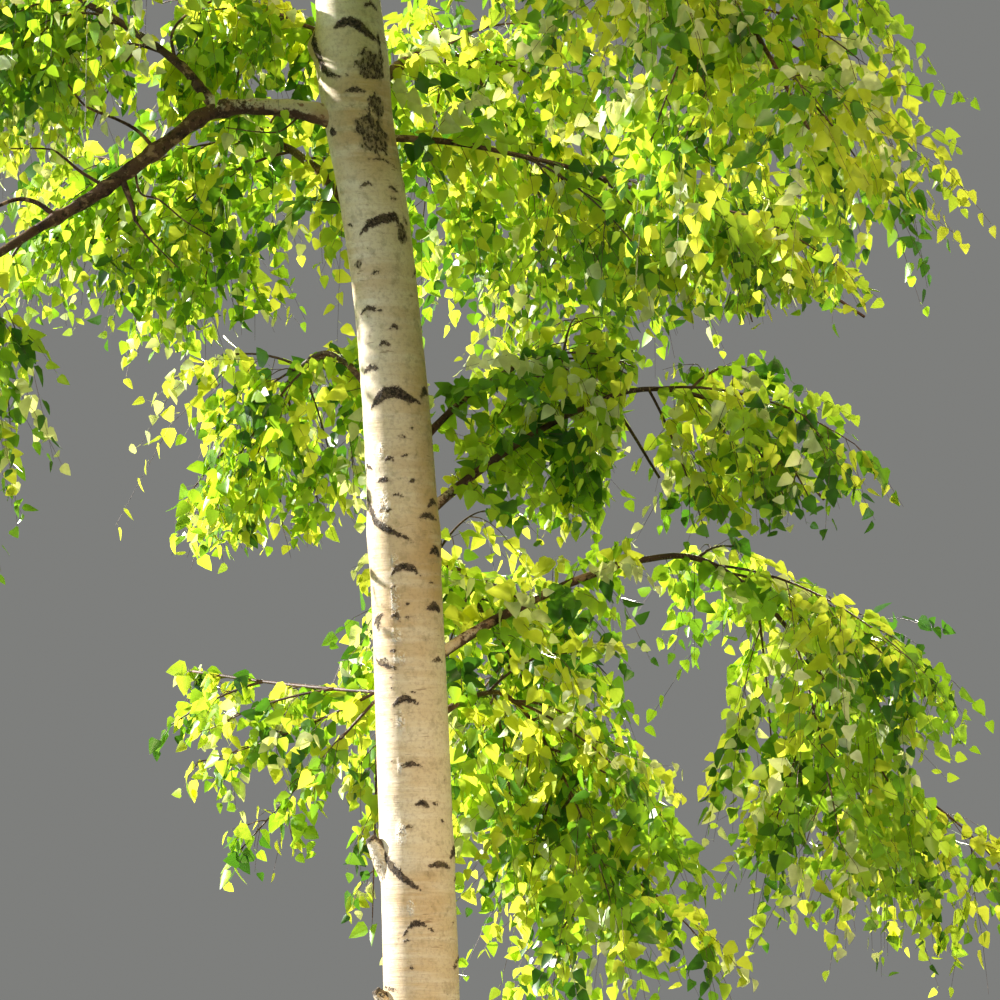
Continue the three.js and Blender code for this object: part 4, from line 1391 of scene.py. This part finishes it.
# How often a stem is gone over with branchlets, where not once
STEM_ROUNDS = {"low_left_leaves": 3}
# Stems and twigs: steps, sides, unevenness, and the radii that they run out to
STEM_FORM = (24, 10, 0.06)
STEM_END_RADIUS = 0.0045
TWIG_FORM = (12, 6, 0.05)
TWIG_RADII = (0.0052, 0.0019)
# The share of a stem, and of a twig or side twig, that is bare at its foot
STEM_BARE = 0.06
TWIG_BARE = 0.12
# Finer twigs between those of the solids: where on the stem, how far they open, and their lengths
BETWEEN_FROM, BETWEEN_SPAN = 0.03, 0.94
BETWEEN_OPENINGS = (35, 70)
BETWEEN_LENGTHS = (0.5, 1.05)
# Side twigs: their spacing, where on the twig, how far they open, their lengths and how much they droop
SIDE_TWIG_STEP = 0.13
SIDE_TWIG_FROM, SIDE_TWIG_SPAN = 0.16, 0.7
SIDE_TWIG_OPENINGS = (38, 62)
SIDE_TWIG_SHARE = 0.5
SIDE_TWIG_SHORTENING = 0.5
SIDE_TWIG_LENGTHS = (0.75, 1.2)
SIDE_TWIG_DROOPS = (0.3, 0.8)
SIDE_TWIG_RADIUS = 0.0021
SIDE_TWIG_POINTS = 6
# Rings and sides of side twigs and of branchlets, and how much thinner both are at their tips
SIDE_TWIG_FORM = (5, 4)
BRANCHLET_FORM = (3, 3)
THINNING = 0.62
# Branchlets: their radius, spacing, opening, lengths and droop, the shares of their length that are tried
# where they don't fit, and the places along them that have to. The logarithms of their lengths are drawn
# about the first value of SPRAY_LENGTH_DRAW, and scatter by the second.
BRANCHLET_RADIUS = 0.0013
SPRAY_STEP = 0.07
SPRAY_LENGTH = 0.24
SPRAY_OPENINGS = (30, 66)
SPRAY_LENGTH_DRAW = (-0.1, 0.36)
SPRAY_LENGTH_LIMITS = (0.4, 1.9)
SPRAY_DROOPS = (0.2, 0.9)
SPRAY_TRIES = (1, 0.7, 0.45)
SPRAY_TESTS = (0.3, 0.65, 1.0)
# Gives a branchlet that stands upright a side of its own
UPRIGHT_NUDGE = 1e-6
# Branchlets at the end of each twig: how many, how far they fan out, and their lengths
END_SPRAYS = 2
END_SPRAY_FAN = 0.3
END_SPRAY_LENGTHS = (0.7, 1.1)
# Branchlets of a bough, in the same terms as those of twigs, and the share of the bough that is bare
BOUGH_SPRAY_STEP = 0.024
BOUGH_SPRAY_SCATTER = 0.3
BOUGH_SPRAY_OPENINGS = (45, 75)
BOUGH_SPRAY_LENGTHS = (0.7, 1.4)
BOUGH_SPRAY_DROOPS = (0.3, 0.9)
BARE_SHARE = 0.3
# Leaves: their spacing, where the first stands in its step, and the share of them that is left
LEAF_STEP = 0.026
FIRST_LEAF = 0.85
LEAVES_LEFT = 0.96
# Their stalks: how far they point ahead and aside, how much that scatters, and their lengths
STALK_AHEAD, STALK_ASIDE, STALK_SCATTER = 0.6, 0.75, 0.3
STALK_LENGTHS = (0.013, 0.024)
# Their blades: how far they point along the stalk and down, how much that scatters, how upright the line
# is that they are turned about, their lengths, how much shorter they are at the tip, their folds and curls
BLADE_AHEAD, BLADE_DOWN, BLADE_SCATTER = 0.5, 0.62, 0.46
BLADE_TURN = (1, 1, 0.35)
LEAF_LENGTH = 0.071
LEAF_LENGTHS = (0.74, 1.14)
LEAF_SHORTENING = 0.42
LEAF_FOLDS = (0.05, 0.4)
LEAF_CURLS = (-0.05, 0.22)
CROWN_LEAF = 1.45
# What leaves keep clear: the trunk, their mass's edge, the tree's box, and the trunk's front where it shows
TRUNK_CLEAR = 0.035
LEAF_ROOM = 0.01
BOX_ROOM = 0.005
BARE_MARGIN = 0.03
BARE_FRONT = 0.02
BARE_TOP = 5.08
# Where the low sun comes from, and the places on the trunk that it reaches between the leaves: across,
# height, half width and half height of the gap in millimetres. The last is the upper stump.
SUNWARD = (-0.847, 0.342, 0.407)
SMALL_SPOTS = [(-61, 4987), (-78, 4874), (-67, 4808), (-60, 4758), (-64, 4708), (-79, 4524)]
SUN_SPOTS = [(*place, 30, 16) for place in SMALL_SPOTS] + [(-104, 2430, 60, 90)]
# Shades of leaf: name, its face, the colour of light through it, roughness, and how much light comes through
SHADES = [
    ("leaf_yellow", "#bcd030", "#eef24a", 0.4, 0.6),
    ("leaf_fresh", "#97c230", "#d2ea40", 0.38, 0.58),
    ("leaf_mid", "#71a428", "#b0da2c", 0.36, 0.52),
    ("leaf_deep", "#4d8222", "#86b826", 0.34, 0.44),
    ("leaf_dark", "#33601d", "#579220", 0.34, 0.32),
    # The pale shade is painted glare: a near-white face that stands in for the sun glinting on some leaves
    ("leaf_painted_glare", "#d2dcae", "#ecf08c", 0.28, 0.42),
]
# The share of the branchlets that has each shade
SHADE_SHARES = [0.23, 0.26, 0.2, 0.13, 0.08, 0.1]


def mass_line(k):
    """The stem of a mass as a smooth line of many points."""
    return smooth_line(masses[k]["stem"], STEM_FORM[0])


def twig_line(k, s, base, heading, length, droop):
    """A twig that starts on the smooth stem and soon joins the line that the rule gives."""
    root = frame_at(mass_line(k), s)[0]
    shares = np.linspace(0, 1, TWIG_FORM[0] + 1)
    line = twig_points(base, heading, length, droop, shares)
    return line + (root - base) * (1 - shares[:, None]) ** 3


def between_twigs(k, segments):
    """Finer twigs from the same stem, spread to its sides, between those that the solids show."""
    if masses[k]["name"] in NONE_BETWEEN:
        return []
    rng = np.random.default_rng(SEEDS["twigs between"] + k)
    stem, spread = mass_line(k), masses[k]["spread"]
    twigs = []
    count = round((BETWEEN_TWIGS if is_near(k) else BETWEEN_CROWN_TWIGS) * fullness(k))
    for j in range(count):
        s = BETWEEN_FROM + BETWEEN_SPAN * rng.uniform(j, j + 1) / count
        base, ahead, side, top = frame_at(stem, s)
        opening = math.radians(rng.uniform(*BETWEEN_OPENINGS))
        heading = opened(ahead, side, top, math.pi * j + rng.normal(0, SPRAY_SCATTER), opening)
        length = spread * (1 - TWIG_SHORTENING * s) * rng.uniform(*BETWEEN_LENGTHS)
        twigs.append((s, base, heading, length, TWIG_DROOP))
    return fitting_twigs(k, segments, twigs)


def is_near(k):
    return masses[k]["centre"][2] < NEAR_TOP


def fullness(k):
    return FULLNESS.get(masses[k]["name"], 1)


def fineness(k):
    return FINENESS.get(masses[k]["name"], 1)


def side_twigs(k, line, length, rng):
    """Twigs of the next order, on alternate sides of one twig."""
    count = max(int(length / SIDE_TWIG_STEP), 2)
    shares = even_shares(SIDE_TWIG_FROM, SIDE_TWIG_SPAN, count)
    base, ahead, side, top = frames_along(line, shares)
    opening = np.radians(rng.uniform(*SIDE_TWIG_OPENINGS, count))
    tilt = rng.normal(0, SPRAY_SCATTER, count)
    hand = np.where(np.arange(count) % 2, 1, -1)[:, None]
    heading = opened(ahead, side * hand, top, tilt, opening)
    longest = fineness(k) * SIDE_TWIG_SHARE * length * (1 - SIDE_TWIG_SHORTENING * shares)
    return base, heading, longest * rng.uniform(*SIDE_TWIG_LENGTHS, count)


def fit_sprays(k, base, heading, length, droop, room=LEAF_ROOM):
    """Keeps what stays inside the mass's own space, shortened where it must be."""
    fitted = np.zeros(len(base))
    for share in SPRAY_TRIES:
        fits = fitted == 0
        for u in SPRAY_TESTS:
            spots = spray_points(base, heading, length * share, droop, np.full(len(base), u))
            fits &= leaf_allowed(k, spots, room)
        fitted[fits] = share
    kept = fitted > 0
    base, heading, length, droop = base[kept], heading[kept], (length * fitted)[kept], droop[kept]
    side = unit(np.cross(heading, UP) + UPRIGHT_NUDGE)
    return base, heading, side, length, droop


def spray_points(base, heading, length, droop, u):
    """Points at one share u along each branchlet."""
    return base + heading * (length * u)[:, None] - UP * (droop * length * u**2)[:, None]


def before_trunk(points, axis, radius):
    """Whether a point hides the part of the trunk that shows its bark from the front."""
    across = np.abs(points[:, 0] - axis[:, 0])
    front = points[:, 1] < axis[:, 1] + BARE_FRONT
    return (across < radius + BARE_MARGIN) & front & (points[:, 2] < BARE_TOP)


def in_sun_gap(points):
    """Whether a point stands between the sun and one of the places that it reaches on the trunk."""
    toward = unit(SUNWARD)
    aside = unit(np.cross(toward, UP))
    above = np.cross(aside, toward)
    within_gap = np.zeros(len(points), bool)
    for row in SUN_SPOTS:
        across, height, half_width, half_height = (part / 1000 for part in row)
        front = -math.sqrt(float(trunk_radius(height)) ** 2 - across**2)
        away = points - trunk_axis(height) - np.array([across, front, 0])
        wide, tall = away @ aside / half_width, away @ above / half_height
        within_gap |= (wide**2 + tall**2 < 1) & (away @ toward > 0)
    return within_gap


def leaf_allowed(k, points, margin):
    """Whether each point keeps to the mass's space, clear of the trunk and inside the whole tree's box."""
    inside = depth_in_space(k, points) > margin if margin is not None else True
    heights = points[:, 2].clip(0, TRUNK_TOP)
    axis, radius = trunk_axis(heights), trunk_radius(heights)
    away = np.hypot(points[:, 0] - axis[:, 0], points[:, 1] - axis[:, 1])
    clear = (away > radius + TRUNK_CLEAR) | (points[:, 2] > TRUNK_TOP)
    low, high = np.array(cad_box[0]) - BOX_ROOM, np.array(cad_box[1]) + BOX_ROOM
    boxed = ((points > low) & (points < high)).all(1)
    return inside & clear & boxed & ~before_trunk(points, axis, radius) & ~in_sun_gap(points)


def sprays_of(k, carriers, size):
    """Branchlets of mass k: base, heading, side, length and droop of each."""
    rng = np.random.default_rng(SEEDS["branchlets"] + k)
    longest = size * SPRAY_LENGTH * fineness(k)
    rows = []
    for line, bare in carriers:
        count = max(int(step_lengths(line).sum() * (1 - bare) / (SPRAY_STEP * size) * fullness(k)), 2)
        base, *frame = frames_along(line, even_shares(bare, 1 - bare, count))
        turn = math.pi * np.arange(count) + rng.normal(0, SPRAY_SCATTER, count)
        heading = opened(*frame, turn, np.radians(rng.uniform(*SPRAY_OPENINGS, count)))
        length = longest * rng.lognormal(*SPRAY_LENGTH_DRAW, count).clip(*SPRAY_LENGTH_LIMITS)
        rows.append((base, heading, length))
        base, ahead, side, top = frames_along(line, np.ones(END_SPRAYS))
        fan = rng.normal(0, END_SPRAY_FAN, (END_SPRAYS, 2))
        heading = unit(ahead + side * fan[:, :1] + top * fan[:, 1:])
        rows.append((base, heading, longest * rng.uniform(*END_SPRAY_LENGTHS, END_SPRAYS)))
    base, heading, length = (np.concatenate(parts) for parts in zip(*rows))
    return fit_sprays(k, base, heading, length, rng.uniform(*SPRAY_DROOPS, len(base)))


def bough_sprays(k, size, rng):
    """Branchlets along the bough that carries mass k, in the shade between the trunk and the mass."""
    bough = masses[k]["bough"]
    if bough not in limbs or bough.startswith("left"):
        return None
    line = smooth_line(limbs[bough]["points"], STEM_FORM[0])
    count = max(int(step_lengths(line).sum() * (1 - BARE_SHARE) / (BOUGH_SPRAY_STEP * size)), 3)
    base, *frame = frames_along(line, even_shares(BARE_SHARE, 1 - BARE_SHARE, count))
    turn = math.radians(GOLDEN_ANGLE) * np.arange(count) + rng.normal(0, BOUGH_SPRAY_SCATTER, count)
    heading = opened(*frame, turn, np.radians(rng.uniform(*BOUGH_SPRAY_OPENINGS, count)))
    length = size * SPRAY_LENGTH * rng.uniform(*BOUGH_SPRAY_LENGTHS, count)
    return fit_sprays(k, base, heading, length, rng.uniform(*BOUGH_SPRAY_DROOPS, count), None)


def add_thin_tubes(heap, base, heading, side, length, droop, thick, form):
    """Many branchlets at once, each a slim tapering tube of the same number of rings and sides."""
    rings, sides = form
    n = len(base)
    turn = turns_of(sides)
    grid = np.empty((n, rings, sides, 3))
    for i, u in enumerate(np.linspace(0, 1, rings)):
        spots = spray_points(base, heading, length, droop, np.full(n, u))
        tangent = unit(heading - UP * (2 * droop * u)[:, None])
        rim = rims(side, np.cross(side, tangent), turn)
        grid[:, i] = spots[:, None] + rim * (thick * (1 - THINNING * u))
    one = grid_faces(rings, sides)
    faces = (one[None] + (np.arange(n) * rings * sides)[:, None, None]).reshape(-1, 4)
    heap.add(grid, [faces])


# The outline of half a leaf blade, widest near its base and pointed: across and along, in leaf lengths.
# BLADE_MIDDLE is where the blade's faces meet on its midrib.
NEAR_HALF = [(0.29, 0.02), (0.39, 0.25), (0.2, 0.7)]
FAR_HALF = [(0.36, 0.12), (0.27, 0.55)]
BLADE_MIDDLE = 0.42


def blade_of(half):
    """Outline and faces of a whole blade and its stalk, whose foot is the last two points."""
    outline = [(0, 0), (0, BLADE_MIDDLE), (0, 1)] + half + [(-x, y) for x, y in half]
    n = len(half)
    faces = []
    for first in (3, 3 + n):
        rim = [0, *range(first, first + n), 2]
        pairs = zip(rim[:-1], rim[1:]) if first == 3 else zip(rim[1:], rim[:-1])
        faces += [(a, b, 1) for a, b in pairs]
    return outline, faces + [(0, 3 + 2 * n, 4 + 2 * n)]


PETIOLE_WIDTH = 0.0011
# Stems that leave the trunk itself are slender shoots.
SHOOTS = [row[0] for row in TRUNK_MASSES]
SHOOT_SHARE = 0.55


def add_leaves(heap, k, sprays, size, blade, faces, rng, room):
    """The leaves of some branchlets, alternate along them and hanging from their stalks."""
    base, heading, side, length, droop = sprays
    if not len(base):
        return
    count = np.maximum((length / (LEAF_STEP * size)).astype(int), 3)
    own = np.repeat(np.arange(len(base)), count)
    order = np.arange(len(own)) - np.repeat(np.cumsum(count) - count, count)
    u = np.minimum((order + FIRST_LEAF) / count[own], 1)
    root = spray_points(base[own], heading[own], length[own], droop[own], u)
    tangent = unit(heading[own] - UP * (2 * droop[own] * u)[:, None])
    hand = np.where((order % 2) == 0, 1, -1)[:, None]
    n = len(own)
    aside = STALK_ASIDE * hand * side[own]
    stalk = unit(STALK_AHEAD * tangent + aside + rng.normal(0, STALK_SCATTER, (n, 3)))
    start = root + stalk * (rng.uniform(*STALK_LENGTHS, n) * size)[:, None]
    ahead = unit(BLADE_AHEAD * stalk - BLADE_DOWN * UP + rng.normal(0, BLADE_SCATTER, (n, 3)))
    across = unit(np.cross(ahead, unit(rng.normal(0, 1, (n, 3)) * BLADE_TURN)))
    face = np.cross(across, ahead)
    long = LEAF_LENGTH * size * rng.uniform(*LEAF_LENGTHS, n) * (1 - LEAF_SHORTENING * u**2)
    fold = rng.uniform(*LEAF_FOLDS, n)
    curl = rng.uniform(*LEAF_CURLS, n)
    tip = start + ahead * long[:, None]
    keep = leaf_allowed(k, tip, room) & leaf_allowed(k, start, room)
    keep &= rng.random(n) < LEAVES_LEFT
    outline = np.array(blade, float)
    x, y = outline[:, 0], outline[:, 1]
    lift = np.abs(x) * fold[:, None] - curl[:, None] * y**2
    shape = (
        start[:, None]
        + across[:, None] * (x * long[:, None])[..., None]
        + ahead[:, None] * (y * long[:, None])[..., None]
        + face[:, None] * (lift * long[:, None])[..., None]
    )
    foot = across * PETIOLE_WIDTH / 2
    shape = np.concatenate([shape, (root - foot)[:, None], (root + foot)[:, None]], 1)[keep]
    one = np.array(faces)
    step = (np.arange(len(shape)) * shape.shape[1])[:, None, None]
    heap.add(shape, [(one[None] + step).reshape(-1, 3)])


# The most triangles that a piece of leaves has before the next one is begun
LEAF_PIECE_LIMIT = 190000


def open_heap(heaps):
    """The last of a shade's heaps, or a new one once that has many triangles."""
    if sum(len(g) for groups in heaps[-1].faces.values() for g in groups) > LEAF_PIECE_LIMIT:
        heaps.append(Heap())
    return heaps[-1]


def grow_twigs(k, size, rng, twigs_heap, branchlets_heap):
    """Adds the stem, twigs and side twigs of mass k, and gives the lines that branchlets stand along."""
    mass, stem, segments = masses[k], mass_line(k), segments_beside(k)
    root_radius = mass["radii"][0] * (SHOOT_SHARE if mass["name"] in SHOOTS else 1)
    _, sides, rough = STEM_FORM
    radii = np.linspace(root_radius, STEM_END_RADIUS, len(stem))
    add_tube(twigs_heap, stem, radii, sides, rough, SEEDS["stems"] + k)
    carriers = [(stem, STEM_BARE)] * STEM_ROUNDS.get(mass["name"], 1)
    side_rows = []
    _, sides, rough = TWIG_FORM
    for s, base, heading, length, droop in twigs_of(k, segments) + between_twigs(k, segments):
        line = twig_line(k, s, base, heading, length, droop)
        add_tube(twigs_heap, line, np.linspace(*TWIG_RADII, len(line)), sides, rough, SEEDS["twigs"] + k)
        carriers.append((line, TWIG_BARE))
        side_rows.append(side_twigs(k, line, length, rng))
    if side_rows:
        base, heading, length = (np.concatenate(parts) for parts in zip(*side_rows))
        finer = fit_sprays(k, base, heading, length, rng.uniform(*SIDE_TWIG_DROOPS, len(base)))
        add_thin_tubes(branchlets_heap, *finer, SIDE_TWIG_RADIUS * size, SIDE_TWIG_FORM)
        base, heading, _, length, droop = finer
        shares = np.linspace(0, 1, SIDE_TWIG_POINTS)
        lines = [spray_points(base, heading, length, droop, np.full(len(base), u)) for u in shares]
        carriers += [(line, TWIG_BARE) for line in np.stack(lines, 1)]
    return carriers


def build_foliage():
    """Grows every mass: its stem and twigs, their branchlets, and the leaves, each kind in its own pieces."""
    twigs_heap, branchlets_heap = Heap(), Heap()
    leaf_heaps = [[Heap()] for _ in SHADES]
    for k in range(len(masses)):
        rng = np.random.default_rng(SEEDS["leaves"] + k)
        size = 1.0 if is_near(k) else CROWN_LEAF
        blade, faces = blade_of(NEAR_HALF if is_near(k) else FAR_HALF)
        carriers = grow_twigs(k, size, rng, twigs_heap, branchlets_heap)
        # Branchlets of the bough may fill the room beside the trunk. The others keep to the mass's own space.
        for sprays, room in ((sprays_of(k, carriers, size), 0.0), (bough_sprays(k, size, rng), None)):
            if sprays is None or not len(sprays[0]):
                continue
            add_thin_tubes(branchlets_heap, *sprays, BRANCHLET_RADIUS * size, BRANCHLET_FORM)
            shade_of = rng.choice(len(SHADES), len(sprays[0]), p=SHADE_SHARES)
            for shade, heaps in enumerate(leaf_heaps):
                chosen = tuple(part[shade_of == shade] for part in sprays)
                add_leaves(open_heap(heaps), k, chosen, size, blade, faces, rng, room)
    names = [mass["name"] for mass in masses]
    dress(twigs_heap.piece("twigs"), TWIG_BARK, "bark_brown", *names)
    dress(branchlets_heap.piece("branchlets"), TWIG_BARK, "bark_brown", *names)
    for (name, *look), heaps in zip(SHADES, leaf_heaps):
        material = leaf_green(name, *look)
        for number, heap in enumerate(heaps, 1):
            dress(heap.piece(f"{name}_{number}"), material, "foliage", *names)


build_foliage()


# Floor, light and camera
FLOOR_SIZE = 600
FLOOR_DROP = 0.001
FLOOR_COLOUR = "#4d4f4d"
SKY_COLOUR = "#adaeab"
SKY_STRENGTH = 0.5
FURTHEST_VIEW = 1000
# Lamps: name, the side that the light comes from, strength, colour, and spread in degrees
LAMPS = [
    ("key", SUNWARD, 13.0, (1.0, 0.965, 0.91), 1),
    ("back", (0.12, 0.93, 0.36), 4.0, (1.0, 0.95, 0.78), 8),
    ("fill", (0.4, -0.72, 0.57), 2.3, (1.0, 0.79, 0.46), 25),
    ("sky", (-0.92, -0.335, 0.21), 1.6, (0.82, 0.92, 1.0), 50),
]


def add_floor():
    bpy.ops.mesh.primitive_plane_add(size=FLOOR_SIZE, location=(0, 0, -FLOOR_DROP))
    floor = bpy.context.object
    floor.name = "floor"
    m = Shading("floor", 0.9)
    m.shader.inputs["Base Color"].default_value = linear(FLOOR_COLOUR)
    m.shader.inputs["Specular IOR Level"].default_value = 0.0
    floor.data.materials.append(m.material)


def add_sun(name, toward, strength, colour, spread):
    lamp = bpy.data.lights.new(name, "SUN")
    lamp.energy = strength
    lamp.color = colour
    lamp.angle = math.radians(spread)
    sun = bpy.data.objects.new(name, lamp)
    sun.rotation_euler = (-Vector(toward)).to_track_quat("-Z", "Y").to_euler()
    bpy.context.scene.collection.objects.link(sun)


def add_light():
    for lamp in LAMPS:
        add_sun(*lamp)
    world = bpy.data.worlds.new("world")
    world.use_nodes = True
    background = world.node_tree.nodes["Background"]
    background.inputs["Color"].default_value = linear(SKY_COLOUR)
    background.inputs["Strength"].default_value = SKY_STRENGTH
    bpy.context.scene.world = world
    bpy.context.scene.view_settings.view_transform = "Standard"


def add_camera():
    camera = bpy.data.cameras.new("camera")
    camera.sensor_width = SENSOR
    place = Vector(CAMERA_PLACE)
    aim = Vector((CAMERA_PLACE[0], 0, CAMERA_TARGET_HEIGHT))
    camera.lens = SENSOR * (aim - place).length / VIEW_SIZE
    camera.clip_end = FURTHEST_VIEW
    viewer = bpy.data.objects.new("camera", camera)
    viewer.location = place
    viewer.rotation_euler = (aim - place).to_track_quat("-Z", "Y").to_euler()
    bpy.context.scene.collection.objects.link(viewer)
    bpy.context.scene.camera = viewer


add_floor()
add_light()
add_camera()
